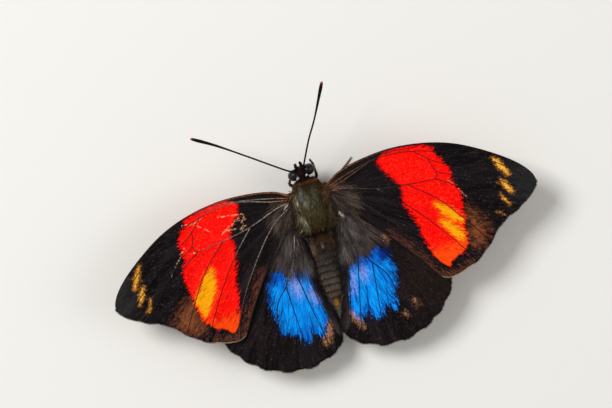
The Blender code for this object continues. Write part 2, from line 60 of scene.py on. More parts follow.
# Wing form, as in the solids
WING_ROOT_X, WING_ROOT_Z = 4.2, 8.0
WING_APART = 1.05
WING_RISE, WING_TIP_SAG, WING_REAR_SAG = 0.06, 0.0008, 0.0012
WING_POSES = {
    "right": ((0.0, 1.0), (0.0, 1.0)),
    "left": ((-1.7, 0.985), (5.0, 1.015)),
}
SWING_CENTRE = (4.2, -2.0)
SWING_REACH = 4.0
FREE_MARGIN_Y = -6.2
INNER_FOLDS = {"right": (0.5, 0.0), "left": (1.4, 0.45)}  # drop, and reach inwards, of the inner margin
FOLD_WIDTH = 2.6
FOLD_SHARES = (0.0, 0.0, 0.6, 1.0, 1.0, 1.0, 0.5, 0.0, 0.0, 0.0)
FOREWING_OUTLINE = [
    (2.9, 0.6), (4.2, 1.3), (7.0, 2.95), (12.0, 4.1), (18.6, 4.55), (25.5, 3.65), (31.75, 1.6), (38.0, -2.0),
    (43.0, -5.9), (45.4, -9.5), (44.2, -12.1), (40.2, -14.8), (36.6, -16.5), (34.2, -18.6),
    (31.1, -21.5), (27.5, -23.4), (23.9, -24.3), (20.9, -23.1), (17.7, -18.4), (13.9, -13.1),
    (8.3, -7.1), (5.2, -3.6), (4.2, -2.7), (2.9, -2.1),
]
HINDWING_OUTLINE = [
    (2.9, -3.3), (4.2, -3.3), (7.0, -4.2), (11.5, -7.2), (16.0, -11.5), (20.5, -17.0), (23.2, -21.5),
    (23.4, -25.0), (21.8, -27.7), (19.0, -30.6), (14.9, -33.1), (10.4, -34.2), (6.0, -34.0),
    (2.3, -32.6), (-0.5, -30.2), (-0.6, -27.8), (0.7, -23.5), (2.2, -19.0), (2.7, -15.5),
    (2.7, -12.5), (3.2, -9.6), (3.9, -7.2), (4.2, -6.2), (2.9, -5.9),
]
# Each vein as thickness at root and tip, millimetres that stay pale on the right and the left, and its course
FOREWING_VEINS = {
    "costa": (0.26, 0.20, (18, 20), [(3.1, 0.5), (4.4, 1.2), (7.0, 2.7), (12.0, 3.85), (18.6, 4.3),
                                     (25.5, 3.4), (31.7, 1.35), (37.9, -2.2)]),
    "subcosta": (0.22, 0.18, (14, 20), [(3.1, 0.2), (4.4, 0.6), (7.4, 1.6), (10.8, 2.5), (14.0, 3.2),
                                        (18.0, 3.8), (24.0, 3.3)]),
    "radius": (0.24, 0.18, (12, 19), [(3.1, 0.0), (4.4, 0.2), (7.8, 1.0), (14.0, 3.0), (19.3, 3.2),
                                      (25.5, 1.9), (31.8, -0.7), (38.5, -4.4), (43.0, -8.4)]),
    "radial_2": (0.22, 0.17, (0, 0), [(28.3, 0.8), (33.5, -0.2), (39.6, -3.7)]),
    "median_1": (0.22, 0.17, (0, 0), [(23.0, 2.5), (26.5, -0.6), (31.6, -3.4), (37.8, -7.8), (43.2, -12.2)]),
    "median_2": (0.22, 0.17, (0, 0), [(25.4, 0.4), (26.3, -2.6), (29.5, -4.6), (34.8, -9.4), (39.6, -14.6)]),
    "cubitus": (0.34, 0.20, (16, 21), [(3.1, -0.4), (4.4, -0.4), (7.4, -0.7), (13.6, -2.6), (19.9, -3.6),
                                       (25.5, -4.0), (26.3, -2.6)]),
    "median_3": (0.23, 0.17, (0, 0), [(25.5, -4.0), (29.2, -6.5), (31.8, -10.2), (33.6, -14.0),
                                      (36.2, -16.4)]),
    "cubital_1": (0.24, 0.17, (0, 0), [(19.9, -3.6), (25.5, -8.7), (30.2, -15.2), (32.9, -19.5)]),
    "cubital_2": (0.25, 0.18, (2, 7), [(13.6, -2.6), (19.2, -8.2), (24.9, -15.6), (29.2, -22.4)]),
    "anal": (0.25, 0.18, (19, 24), [(3.2, -0.9), (4.5, -1.2), (9.9, -4.6), (16.1, -11.7), (20.5, -18.1),
                                    (22.6, -23.6)]),
}
REDDISH_VEINS = {"costa": (18, 20), "subcosta": (12, 5), "radius": (11, 5), "cubitus": (6, 3)}  # millimetres
HINDWING_VEINS = {
    "costal": (0.24, 0.17, (0, 0), [(3.2, -3.9), (4.5, -4.2), (11.0, -9.0), (17.6, -15.6), (22.6, -22.2)]),
    "radial": (0.23, 0.17, (0, 0), [(7.2, -7.2), (12.0, -13.0), (17.5, -20.0), (21.6, -27.3)]),
    "median_1": (0.22, 0.17, (0, 0), [(9.3, -11.6), (13.6, -17.6), (17.4, -24.4), (19.2, -30.2)]),
    "median_2": (0.22, 0.17, (0, 0), [(9.3, -11.6), (12.7, -17.7), (14.8, -24.3), (15.9, -32.3)]),
    "cubitus": (0.30, 0.24, (4, 14), [(3.2, -4.7), (4.5, -5.4), (5.2, -9.0), (6.4, -13.2), (8.5, -16.9)]),
    "median_3": (0.24, 0.17, (0, 0), [(8.5, -16.9), (11.0, -20.4), (11.6, -25.9), (11.4, -33.8)]),
    "cubital_1": (0.25, 0.17, (0, 0), [(8.5, -16.9), (7.8, -23.0), (6.4, -33.8)]),
    "cubital_2": (0.25, 0.17, (0, 0), [(6.4, -13.2), (4.7, -20.4), (1.9, -32.0)]),
    "anal": (0.24, 0.17, (0, 6), [(3.4, -5.6), (4.4, -6.6), (4.0, -14.0), (2.7, -20.5), (0.2, -30.0)]),
}

# Markings of the forewing's upper side, for each side of this animal
SCARLET_BAND = {
    "right": [(15.8, 3.5), (18.0, 4.15), (22.0, 4.0), (26.1, 3.0), (27.1, 1.0), (28.3, -0.9),
              (28.9, -2.4), (29.25, -4.3), (28.9, -5.9), (29.6, -7.1), (30.0, -9.0), (29.6, -11.8),
              (29.25, -14.3), (28.6, -15.9), (28.3, -18.7), (27.1, -19.9), (24.25, -21.2),
              (23.6, -22.1), (22.1, -20.9), (20.8, -18.4), (19.9, -15.6), (19.6, -12.4),
              (18.9, -9.9), (18.0, -7.1), (18.3, -4.9), (18.3, -3.4), (17.4, -1.8), (16.4, -0.25),
              (15.5, 1.3), (14.9, 2.4)],
    "left": [(15.9, 3.3), (17.5, 3.85), (21.5, 3.7), (25.7, 2.7), (26.3, 1.6), (27.3, 0.3),
             (28.1, -1.0), (28.5, -2.4), (28.5, -4.0), (28.3, -5.8), (28.9, -6.8), (29.6, -8.5),
             (29.3, -10.5), (29.2, -12.5), (28.6, -14.5), (28.3, -17.9), (27.4, -19.2),
             (26.1, -20.7), (24.1, -21.5), (23.0, -22.7), (22.0, -22.2), (21.0, -20.5),
             (20.1, -17.8), (19.5, -15.5), (19.3, -13.0), (18.6, -10.5), (17.8, -7.8),
             (17.5, -6.2), (17.6, -4.6), (17.7, -3.0), (16.7, -1.4), (15.1, 0.2), (14.9, 1.4),
             (14.6, 2.6)],
}
YELLOW_LENSES = {
    "right": [[(24.1, -8.6), (25.2, -9.0), (26.9, -10.5), (28.2, -12.3), (29.2, -14.1),
               (28.2, -14.3), (26.9, -13.4), (25.5, -12.1), (24.5, -10.5)],
              [(23.9, -12.5), (25.2, -12.5), (26.6, -13.7), (27.9, -15.3), (28.4, -16.9),
               (27.9, -18.1), (26.8, -17.5), (25.7, -15.9), (24.8, -14.2)]],
    "left": [[(23.2, -8.6), (25.3, -9.7), (27.0, -11.9), (28.5, -14.2), (28.1, -16.2),
              (27.6, -18.2), (26.6, -17.2), (24.5, -14.6), (23.5, -12.5)]],
}
APEX_SPOTS = {  # each a streak from one place to another with its half width
    "right": [((38.2, -3.4), (40.3, -7.3), 0.68), ((38.5, -8.2), (40.1, -11.0), 0.66),
              ((37.5, -10.8), (38.9, -13.5), 0.36), ((36.1, -14.1), (37.4, -15.2), 0.0)],
    "left": [((37.4, -4.0), (39.7, -8.2), 0.58), ((37.9, -8.5), (39.5, -11.5), 0.54),
             ((37.1, -11.4), (38.3, -13.6), 0.32)],
}
BROWN_SMUDGE = {
    "right": [(29.8, -10.8), (31.3, -12.0), (32.8, -14.4), (33.4, -17.5), (32.2, -19.6),
              (30.4, -20.4), (28.9, -19.5), (28.8, -17.0), (29.2, -14.5)],
    "left": [(29.2, -14.2), (31.1, -15.4), (33.0, -17.7), (32.4, -19.2), (30.6, -20.2),
             (28.8, -19.8), (28.2, -17.9), (28.4, -15.6)],
}
SCRATCHES = {  # lines where scales are rubbed off, with their half width
    "right": [((28.2, -5.2), (31.0, -9.6), 0.0)],
    "left": [((14.0, 0.2), (17.0, 0.6), 0.09), ((17.2, 0.7), (19.4, 1.0), 0.07),
             ((15.2, -0.3), (17.1, -1.5), 0.11), ((17.3, -1.4), (19.3, -2.6), 0.08),
             ((21.5, -1.5), (24.0, 0.7), 0.07), ((22.2, 1.9), (24.4, 1.0), 0.07),
             ((23.4, -4.4), (26.9, -4.7), 0.06), ((16.4, -2.4), (18.8, -2.2), 0.08),
             ((27.6, -3.1), (32.0, -8.3), 0.05), ((23.3, 0.9), (26.8, 1.4), 0.05),
             ((13.9, -0.3), (14.9, -1.5), 0.08), ((13.7, -1.0), (15.4, -0.9), 0.07),
             ((14.2, -2.3), (15.7, -2.7), 0.08), ((14.6, -1.9), (15.6, -3.6), 0.05)],
}
WING_FLECKS = {"right": (4.6, -4.4), "left": (4.5, -0.3)}  # a bare white plate at the wing's root
AZURE_PATCH = {
    "right": [(4.4, -16.2), (5.7, -15.0), (7.0, -15.1), (8.1, -15.9), (8.9, -15.1), (10.4, -14.3),
              (11.5, -14.8), (12.3, -16.4), (12.9, -19.0), (12.5, -21.7), (11.5, -24.0),
              (11.1, -25.9), (10.7, -27.5), (8.9, -26.4), (7.8, -27.5), (7.0, -28.5), (5.7, -27.7),
              (4.9, -26.2), (4.1, -26.9), (3.3, -28.3), (2.5, -27.5), (1.5, -25.9), (0.7, -25.9),
              (1.0, -24.3), (2.0, -20.6), (3.3, -17.5)],
    "left": [(4.2, -14.8), (6.5, -13.9), (7.1, -13.8), (8.4, -15.1), (9.4, -15.9), (9.8, -13.8),
             (11.8, -13.5), (13.1, -14.8), (13.9, -16.9), (14.4, -19.0), (14.3, -21.2),
             (13.9, -23.0), (13.5, -25.9), (12.3, -26.4), (10.5, -26.9), (9.4, -28.5),
             (8.7, -29.3), (7.9, -28.5), (7.3, -26.7), (6.3, -28.3), (5.2, -28.5), (4.2, -27.5),
             (3.4, -25.6), (2.7, -25.6), (2.9, -23.3), (3.5, -21.2), (4.05, -18.5)],
}
LILAC_WEAR = {
    "right": [((6.2, -17.6), (6.0, -19.6), 0.6), ((4.0, -18.0), (3.2, -21.4), 0.3)],
    "left": [((8.0, -16.2), (7.7, -19.0), 0.95), ((5.1, -19.0), (4.6, -21.2), 0.7)],
}
TAN_MARKS = {
    "right": [((1.2, -25.4), (3.1, -29.2), 0.42), ((14.7, -26.6), (15.1, -27.9), 0.12),
              ((12.0, -28.6), (12.4, -29.6), 0.08), ((12.3, -12.3), (12.8, -13.6), 0.12)],
    "left": [((3.3, -26.3), (4.6, -30.2), 0.48), ((5.2, -29.2), (5.3, -30.6), 0.3)],
}
AZURE_FOLDS = {
    "right": [((6.1, -21.0), (4.9, -27.2), 0.16), ((9.9, -22.0), (9.2, -27.0), 0.1)],
    "left": [((6.8, -23.0), (7.0, -27.5), 0.16), ((11.8, -20.5), (12.0, -25.5), 0.1)],
}
OCELLI = [(4.2, -27.0), (8.9, -28.3), (13.2, -27.6), (16.8, -25.0), (19.2, -21.4)]  # on the underside
UNDER_BAND_REACHES = (4.5, 8.5, 12.8, 16.6, 24.5)

# Body, as (place along the body, half width, top, bottom) of the solids, and how deep the coat is
THORAX_SECTIONS = [
    (3.3, 2.2, 8.0, 4.6), (2.8, 2.9, 8.6, 3.8), (1.8, 3.4, 9.2, 3.1), (0.3, 3.7, 9.6, 2.6),
    (-1.7, 3.75, 9.8, 2.4), (-3.6, 3.65, 9.6, 2.5), (-5.3, 3.4, 9.2, 2.8), (-6.6, 3.0, 8.7, 3.2),
    (-7.5, 2.5, 8.1, 3.7), (-7.85, 2.1, 7.7, 4.0),
]
ABDOMEN_SECTIONS = [
    (-8.15, 2.0, 7.5, 4.0), (-8.8, 2.5, 7.9, 3.6), (-11.0, 2.65, 7.9, 3.3), (-14.0, 2.55, 7.6, 3.2),
    (-17.0, 2.35, 7.2, 3.1), (-19.5, 2.0, 6.7, 3.2), (-21.5, 1.4, 6.1, 3.4), (-23.0, 0.65, 5.4, 3.9),
    (-23.7, 0.25, 5.0, 4.3),
]
ABDOMEN_BEND = -0.75
RING_PLACES = (-10.3, -11.8, -13.2, -14.6, -16.0, -17.4, -18.8, -20.2, -21.5)
THORAX_COAT, ABDOMEN_COAT, HEAD_COAT = 0.42, 0.2, 0.14
SHOULDERS = [  # middle and half sizes of the lobe under each wing's root, for the right side
    ((3.2, -0.6, 8.05), (1.5, 2.1, 0.72)), ((3.3, -4.5, 7.45), (1.3, 1.9, 0.62)),
    ((2.1, -7.2, 6.8), (1.05, 1.9, 0.95)),
]
HEAD_AT = Vector((-0.2, 5.0, 6.5))
HEAD_TURN = math.radians(8.0)
HEAD_HALF = (1.75, 1.3, 1.75)
EYE_HALF = (1.5, 1.2, 1.5)
EYE_CENTRE_X = 1.45
EYE_RIM_TUFTS = {"left": (1.1, -0.72, 1.1), "right": (0.62, -0.72, 1.12)}  # white, by each eye's rear rim
PALP_PATH = [(0.6, 0.25, -1.5), (0.6, 1.12, -1.7), (0.6, 1.38, -1.76), (0.56, 1.84, -1.1),
             (0.5, 1.88, 0.1)]
PROBOSCIS_AT = (0.0, -0.4, -3.2)
PROBOSCIS_COIL = 1.05
ANTENNA_PATHS = {
    "left": [(-0.9, 5.5, 7.55), (-1.35, 5.8, 8.3), (-2.75, 6.0, 8.8), (-9.4, 10.8, 10.8),
             (-15.3, 15.0, 12.3), (-19.9, 17.8, 13.6)],
    "right": [(0.37, 5.73, 7.57), (0.65, 6.15, 8.35), (1.05, 6.95, 9.1), (3.2, 11.0, 12.0),
              (5.5, 14.7, 14.6), (8.9, 21.1, 19.0)],
}
LEG_PATHS = {  # coxa inside the body, hip, knee, ankle, ball of the foot, claws
    "midleg_right": [(1.2, -0.9, 4.0), (2.7, -0.6, 3.1), (5.9, 1.7, 5.0), (8.1, 3.2, 1.0),
                     (9.0, 3.85, 0.2), (10.6, 5.05, 0.2)],
    "midleg_left": [(-1.2, -0.9, 4.0), (-2.7, -0.6, 3.1), (-6.2, 0.4, 5.0), (-8.6, 1.0, 1.0),
                    (-9.6, 1.3, 0.2), (-11.6, 1.9, 0.2)],
    "hindleg_right": [(1.1, -4.3, 4.0), (2.4, -4.8, 3.2), (5.2, -8.4, 4.9), (7.2, -13.2, 1.0),
                      (7.7, -14.3, 0.2), (8.6, -16.4, 0.2)],
    "hindleg_left": [(-1.1, -4.3, 4.0), (-2.4, -4.8, 3.2), (-5.5, -8.1, 4.9), (-7.8, -12.7, 1.0),
                     (-8.4, -13.8, 0.2), (-9.5, -15.8, 0.2)],
    "foreleg_right": [(1.0, 1.2, 4.4), (1.75, 2.2, 3.5), (2.7, 3.6, 3.8), (2.65, 4.9, 4.35),
                      (2.6, 6.0, 5.3), (2.2, 7.0, 6.0)],
    "foreleg_left": [(-1.0, 1.2, 4.4), (-1.75, 2.2, 3.5), (-3.35, 3.2, 4.4), (-2.8, 4.2, 4.0),
                     (-2.1, 4.9, 3.6), (-1.5, 5.5, 3.2)],
}
SIDES = {"left": -1, "right": 1}


# Shapes as plain sums

def smooth_line(points, step, closed=False):
    """Places about one step apart on the Catmull-Rom curve through the given ones."""
    known = [Vector(p) for p in points]
    count = len(known)
    line = []
    for i in range(count if closed else count - 1):
        b, c = known[i], known[(i + 1) % count]
        a = known[i - 1] if closed or i else b + b - c
        d = known[(i + 2) % count] if closed or i + 2 < count else c + c - b
        parts = max(1, round((c - b).length / step))
        for k in range(parts):
            t = k / parts
            bend = (2 * a - 5 * b + 4 * c - d) * t * t + (3 * (b - c) + d - a) * t ** 3
            line.append(b + 0.5 * ((c - a) * t + bend))
    if not closed:
        line.append(known[-1])
    return np.array([tuple(p) for p in line])


def unit(vectors):
    """Vectors brought to length one."""
    return vectors / np.maximum(np.linalg.norm(vectors, axis=1), 1e-6)[:, None]


def ramp(values, start, end):
    """A share for each value that goes from nought at start to one at end, and stays there."""
    return np.clip((values - start) / (end - start), 0.0, 1.0)


def run_along(line):
    """How far along a line each of its places is."""
    return np.concatenate([[0], np.cumsum(np.linalg.norm(np.diff(line, axis=0), axis=1))])


def distance_to_line(places, line):
    """Distance from each place to a line, and how far along the line its nearest point is."""
    nearest = np.full(len(places), 1e9)
    along = np.zeros(len(places))
    run = 0.0
    for a, b in zip(line, line[1:]):
        step = b - a
        length = max(float(np.hypot(*step)), 1e-9)
        t = np.clip((places - a) @ step / length ** 2, 0.0, 1.0)
        gap = np.hypot(*(places - a - t[:, None] * step).T)
        closer = gap < nearest
        nearest[closer] = gap[closer]
        along[closer] = run + t[closer] * length
        run += length
    return nearest, along


def distance_to_places(places, marks):
    """Distance from each place to the nearest of some marks."""
    return np.min(np.hypot(*(places[:, None] - marks[None]).transpose(2, 0, 1)), axis=1)


def is_inside(places, outline):
    """Whether each place lies within a closed outline."""
    x, y = places.T
    hit = np.zeros(len(places), bool)
    for (ax, ay), (bx, by) in zip(outline, np.roll(outline, -1, axis=0)):
        if ay != by:
            hit ^= ((ay > y) != (by > y)) & (x < ax + (y - ay) * (bx - ax) / (by - ay))
    return hit


def depth_in_patch(places, corners):
    """How far inside a rounded patch each place lies, below nought outside it."""
    rim = smooth_line(corners, 0.6, closed=True)
    gap, _ = distance_to_line(places, np.vstack([rim, rim[:1]]))
    return np.where(is_inside(places, rim), gap, -gap)


def depth_in_streaks(places, streaks):
    """How far inside the nearest of some tapering streaks each place lies."""
    depth = np.full(len(places), -9.0)
    for start, end, half_width in streaks:
        line = np.array([start, end], float)
        gap, along = distance_to_line(places, line)
        share = along / np.hypot(*(line[1] - line[0]))
        taper = 0.55 + 0.45 * np.sin(np.pi * share)
        depth = np.maximum(depth, half_width * taper - gap)
    return depth


def bands(rings, sides, start=0, backward=False):
    """Faces from each ring of points to the next."""
    faces = []
    for i in range(rings - 1):
        for k in range(sides):
            a, b = (start + i * sides + j % sides for j in (k, k + 1))
            faces.append((a, b, b + sides, a + sides) if backward else (a, a + sides, b + sides, b))
    return faces


def rod(path, radii, sides=8, flat=1.0):
    """A closed rod along a path, with its own thickness at each place; flat narrows it upwards."""
    path = np.asarray(path, float)
    ahead = unit(np.gradient(path, axis=0))
    side = np.cross(ahead, (0.0, 0.0, 1.0))
    side[np.linalg.norm(side, axis=1) < 0.05] = (1.0, 0.0, 0.0)
    side = unit(side)
    up = np.cross(side, ahead)
    turn = np.linspace(0, 2 * math.pi, sides, endpoint=False)
    ring = np.cos(turn)[None, :, None] * side[:, None] + flat * np.sin(turn)[None, :, None] * up[:, None]
    points = (path[:, None] + radii[:, None, None] * ring).reshape(-1, 3)
    count = len(path)
    caps = [tuple(range(sides)), tuple(reversed(range((count - 1) * sides, count * sides)))]
    return points, bands(count, sides) + caps


def ball(middle, half_sizes, across=48, up=32):
    """A closed oval ball whose poles lie to the sides."""
    lean = np.linspace(0, math.pi, up + 1)[1:-1]
    turn = np.linspace(0, 2 * math.pi, across, endpoint=False)
    rings = [np.column_stack([
        np.full(across, math.cos(a)), math.sin(a) * np.cos(turn), math.sin(a) * np.sin(turn)
    ]) for a in lean]
    points = np.vstack([[(1, 0, 0)], *rings, [(-1, 0, 0)]]) * half_sizes + middle
    last = len(points) - 1
    start = last - across
    front = [(0, 1 + k, 1 + (k + 1) % across) for k in range(across)]
    rear = [(last, start + (k + 1) % across, start + k) for k in range(across)]
    return points, front + bands(len(lean), across, 1) + rear


def joined(parts):
    """Several meshes as one; each part is its points and faces, and may have values for its points."""
    points, faces, values, start = [], [], {}, 0
    for part_points, part_faces, *part_values in parts:
        points.append(part_points)
        faces += [tuple(i + start for i in face) for face in part_faces]
        for key, value in (part_values[0] if part_values else {}).items():
            values.setdefault(key, []).append(value)
        start += len(part_points)
    return np.vstack(points), faces, {key: np.concatenate(value) for key, value in values.items()}


# Pieces

def make_piece(name, points, faces, finish, replaces=(), values=None, underside=None):
    """A mesh piece from places in millimetres, with its finish, riding on the body.

    Values are numbers or triples for each point, which the finish reads by name. Underside is a second
    finish with the faces that wear it.
    """
    mesh = bpy.data.meshes.new(name)
    mesh.from_pydata((np.asarray(points) * MM + MIDDLE).tolist(), [], faces)
    for key, value in (values or {}).items():
        kind, field = ("FLOAT_VECTOR", "vector") if value.ndim == 2 else ("FLOAT", "value")
        layer = mesh.attributes.new(key, kind, "POINT")
        layer.data.foreach_set(field, value.astype(np.float32).ravel())
    mesh.materials.append(finish)
    if underside:
        mesh.materials.append(underside[0])
        mesh.polygons.foreach_set("material_index", np.asarray(underside[1], np.int32))
    mesh.shade_smooth()
    piece = bpy.data.objects.new(name, mesh)
    bpy.context.scene.collection.objects.link(piece)
    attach(piece, "root")
    if replaces:
        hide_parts(*replaces)
    return piece


# Finishes

def linear(code):
    """Linear colour from an sRGB hex code."""
    parts = [int(code[i:i + 2], 16) / 255 for i in (0, 2, 4)]
    return np.array([c / 12.92 if c <= 0.04045 else ((c + 0.055) / 1.055) ** 2.4 for c in parts])


def toward(colours, code, shares):
    """Colours moved towards one more by a share for each."""
    return colours + shares[:, None] * (linear(code) - colours)


def add(tree, kind, settings=None, links=None):
    """Adds a node; settings are its fields or input values, links come from other nodes' outputs."""
    node = tree.nodes.new(kind)
    for key, value in (settings or {}).items():
        if isinstance(key, str) and hasattr(node, key):
            setattr(node, key, value)
        else:
            node.inputs[key].default_value = value
    for key, source in (links or {}).items():
        tree.links.new(source, node.inputs[key])
    return node


def new_finish(name, settings):
    """An empty finish: its node tree, and the shader with its constant settings."""
    made = bpy.data.materials.new(name)
    made.use_nodes = True
    tree = made.node_tree
    shader = tree.nodes["Principled BSDF"]
    for key, value in settings.items():
        shader.inputs[key].default_value = value
    return made, tree, shader


def give_surface(tree, shader, colour, height, strength, depth, invert=False):
    """Gives the shader its colour and a fine relief that is depth millimetres deep."""
    relief = add(
        tree, "ShaderNodeBump", {"Strength": strength, "Distance": depth * MM, "invert": invert},
        {"Height": height},
    )
    tree.links.new(colour, shader.inputs["Base Color"])
    tree.links.new(relief.outputs["Normal"], shader.inputs["Normal"])


def fine_grain(tree, size, detail, roughness=0.5):
    """Noise that is alike in all directions, sized in millimetres."""
    place = add(tree, "ShaderNodeTexCoord")
    grain = add(
        tree, "ShaderNodeTexNoise", {"Scale": 1 / (size * MM), "Detail": detail, "Roughness": roughness},
        {"Vector": place.outputs["Object"]},
    )
    return grain.outputs["Fac"]


def scale_grain(tree, length, width, detail):
    """Noise drawn out along the lie of the wing's scales, sized in millimetres."""
    lie = add(tree, "ShaderNodeAttribute", {"attribute_name": "lie"})
    sized = add(
        tree, "ShaderNodeVectorMath", {"operation": "MULTIPLY", 1: (1 / length, 1 / width, 1.0)},
        {0: lie.outputs["Vector"]},
    )
    grain = add(
        tree, "ShaderNodeTexNoise", {"Scale": 1.0, "Detail": detail, "Roughness": 0.6},
        {"Vector": sized.outputs[0]},
    )
    return grain.outputs["Fac"]


def laid_over(tree, below, code, measure, start, end, most=1.0, curve="LINEAR"):
    """A colour laid over what is below, which is a hex code or another node's colour.

    It shows more as a measure goes from start to end.
    """
    share = add(
        tree, "ShaderNodeMapRange",
        {"From Min": start, "From Max": end, "To Max": most, "interpolation_type": curve},
        {"Value": measure},
    )
    settings = {"data_type": "RGBA", 7: (*linear(code), 1.0)}
    links = {0: share.outputs["Result"]}
    if isinstance(below, str):
        settings[6] = (*linear(below), 1.0)
    else:
        links[6] = below
    return add(tree, "ShaderNodeMix", settings, links).outputs[2]


MULTIPLIED = {"data_type": "RGBA", "blend_type": "MULTIPLY", 0: 1.0}
SCALE_GRAINS = {  # millimetres along the wing and across it, and how much fine detail
    "rows": (1.3, 0.17, 2.0), "speck": (0.34, 0.2, 3.0),
    "streak": (14.0, 0.9, 2.0), "lines": (3.2, 0.17, 3.0),
}
SCALE_DUST = "7A6254"


def wing_scales(name, ground, worn, scuffed, patches):
    """Thousands of flat scales in rows: matt, faintly satin, speckled, with combed colour edges.

    A real scale is 0.1 by 0.2 mm, too fine to show, so rows are drawn about 0.2 mm apart. Each patch is its
    marking, its colour, the grain of its edge, how many millimetres the edge wanders and is soft, and its
    strength.
    """
    made, tree, shader = new_finish(name, {"Roughness": 0.62, "Specular IOR Level": 0.06})
    grains = {kind: scale_grain(tree, *sizes) for kind, sizes in SCALE_GRAINS.items()}
    rows, speck = grains["rows"], grains["speck"]
    rows = add(tree, "ShaderNodeMix", {"data_type": "FLOAT", 0: 0.4}, {2: rows, 3: speck}).outputs[0]
    grains["rows"] = rows
    colour = laid_over(tree, ground, worn, grains["streak"], 0.42, 0.70)
    colour = laid_over(tree, colour, scuffed, grains["lines"], 0.56, 0.74, 0.6)
    colour = laid_over(tree, colour, SCALE_DUST, speck, 0.6, 0.74, 0.32)
    for marking, code, grain, ragged, soft, strength in patches:
        depth = add(tree, "ShaderNodeAttribute", {"attribute_name": marking})
        edge = add(
            tree, "ShaderNodeMath", {"operation": "MULTIPLY_ADD", 1: 6 * ragged},
            {0: grains[grain], 2: depth.outputs["Fac"]},
        )
        start, end = 3 * ragged - soft, 3 * ragged + soft
        colour = laid_over(tree, colour, code, edge.outputs[0], start, end, strength, "SMOOTHSTEP")
    light = add(
        tree, "ShaderNodeMapRange", {"From Min": 0.34, "From Max": 0.66, "To Min": 0.6, "To Max": 1.22},
        {"Value": rows},
    )
    speckled = add(tree, "ShaderNodeMix", MULTIPLIED, {6: colour, 7: light.outputs["Result"]})
    give_surface(tree, shader, speckled.outputs[2], rows, 0.6, 0.1)
    return made


def vein_horn():
    """Hollow horn tubes with patchy scales: satin, tan near the root, dark beyond, dull red in the band."""
    made, tree, shader = new_finish("vein_horn", {"Roughness": 0.55, "Specular IOR Level": 0.12})
    pale, warm, red = (
        add(tree, "ShaderNodeAttribute", {"attribute_name": key}).outputs["Fac"]
        for key in ("pale", "warm", "red")
    )
    flecks = fine_grain(tree, 0.35, 3.0, 0.65)
    bare = add(
        tree, "ShaderNodeMapRange", {"From Min": 0.4, "From Max": 0.6, "To Min": 0.2, "To Max": 1.15},
        {"Value": flecks},
    )
    share = add(tree, "ShaderNodeMath", {"operation": "MULTIPLY"}, {0: pale, 1: bare.outputs["Result"]})
    tan = add(
        tree, "ShaderNodeMix",
        {"data_type": "RGBA", 6: (*linear("A2968A"), 1.0), 7: (*linear("A05C2E"), 1.0)}, {0: warm},
    )
    dark = add(
        tree, "ShaderNodeMix",
        {"data_type": "RGBA", 6: (*linear("0E090A"), 1.0), 7: (*linear("640A06"), 1.0)}, {0: red},
    )
    mixed = add(
        tree, "ShaderNodeMix", {"data_type": "RGBA"},
        {0: share.outputs[0], 6: dark.outputs[2], 7: tan.outputs[2]},
    )
    give_surface(tree, shader, mixed.outputs[2], flecks, 0.7, 0.06)
    return made


def fur():
    """Fine hair and hair-like scales: matt, with painted shade at each root that lightens towards the tip,
    and each tuft with its own depth of colour.
    """
    made, tree, shader = new_finish("fur", {"Roughness": 0.6, "Specular IOR Level": 0.14})
    hue = add(tree, "ShaderNodeAttribute", {"attribute_name": "hue"})
    shade = add(tree, "ShaderNodeAttribute", {"attribute_name": "shade"})
    colour = add(tree, "ShaderNodeMix", MULTIPLIED, {6: hue.outputs["Color"], 7: shade.outputs["Fac"]})
    tree.links.new(colour.outputs[2], shader.inputs["Base Color"])
    return made


def mottled_horn(name, roughness, gloss, grain, lights, relief):
    """Horn under short scales: mottled darker and lighter where they are rubbed, and finely pitted."""
    made, tree, shader = new_finish(name, {"Roughness": roughness, "Specular IOR Level": gloss})
    hue = add(tree, "ShaderNodeAttribute", {"attribute_name": "hue"})
    mottle = fine_grain(tree, *grain)
    light = add(
        tree, "ShaderNodeMapRange",
        {"From Min": 0.3, "From Max": 0.7, "To Min": lights[0], "To Max": lights[1]},
        {"Value": mottle},
    )
    colour = add(tree, "ShaderNodeMix", MULTIPLIED, {6: hue.outputs["Color"], 7: light.outputs["Result"]})
    give_surface(tree, shader, colour.outputs[2], mottle, *relief)
    return made


def eye_lenses():
    """Thousands of tiny lenses: near black, mottled with a painted purple-grey sheen, and with a soft gloss.

    A real lens is 0.03 mm, drawn here at 0.09 mm so that the facets still show close by.
    """
    made, tree, shader = new_finish(
        "eye_lenses",
        {"Roughness": 0.3, "Specular IOR Level": 0.22, "Coat Weight": 0.1, "Coat Roughness": 0.08},
    )
    place = add(tree, "ShaderNodeTexCoord")
    facets = add(
        tree, "ShaderNodeTexVoronoi", {"Scale": 1 / (0.09 * MM), "Randomness": 0.25},
        {"Vector": place.outputs["Object"]},
    )
    # Painted sheen: lighter purple-grey patches over the near-black lenses
    colour = laid_over(tree, "080506", "221C1E", fine_grain(tree, 1.1, 2.0), 0.42, 0.68)
    give_surface(tree, shader, colour, facets.outputs["Distance"], 0.35, 0.03, invert=True)
    return made


FOREWING_UPPER = wing_scales("forewing_upper_scales", "050305", "1A141A", "402B26", [
    ("hind_strip", "66392A", "rows", 1.9, 1.4, 0.72),
    ("smudge", "96522C", "rows", 1.6, 2.4, 0.68),
    # Painted sheen: the black ground greyed towards the forewing's apex
    ("apex_sheen_and_tint", "2B2B2A", "rows", 1.0, 2.5, 0.6),
    ("band", "5A0603", "rows", 0.8, 0.3, 1.0),
    ("band_core", "FF0300", "rows", 0.7, 0.25, 1.0),
    ("orange_tail", "FF4A03", "rows", 0.8, 1.4, 0.9),
    ("band_fleck", "FF4A1E", "speck", 2.2, 0.5, 0.5),
    ("lens", "F84C05", "rows", 0.5, 0.5, 1.0),
    ("lens_core", "F9A303", "rows", 0.45, 0.4, 1.0),
    ("spots", "A0621E", "rows", 0.5, 0.5, 0.85),
    ("spots_core", "F8B642", "speck", 0.3, 0.4, 0.97),
    ("scratch", "D8A880", "speck", 0.18, 0.08, 0.8),
])
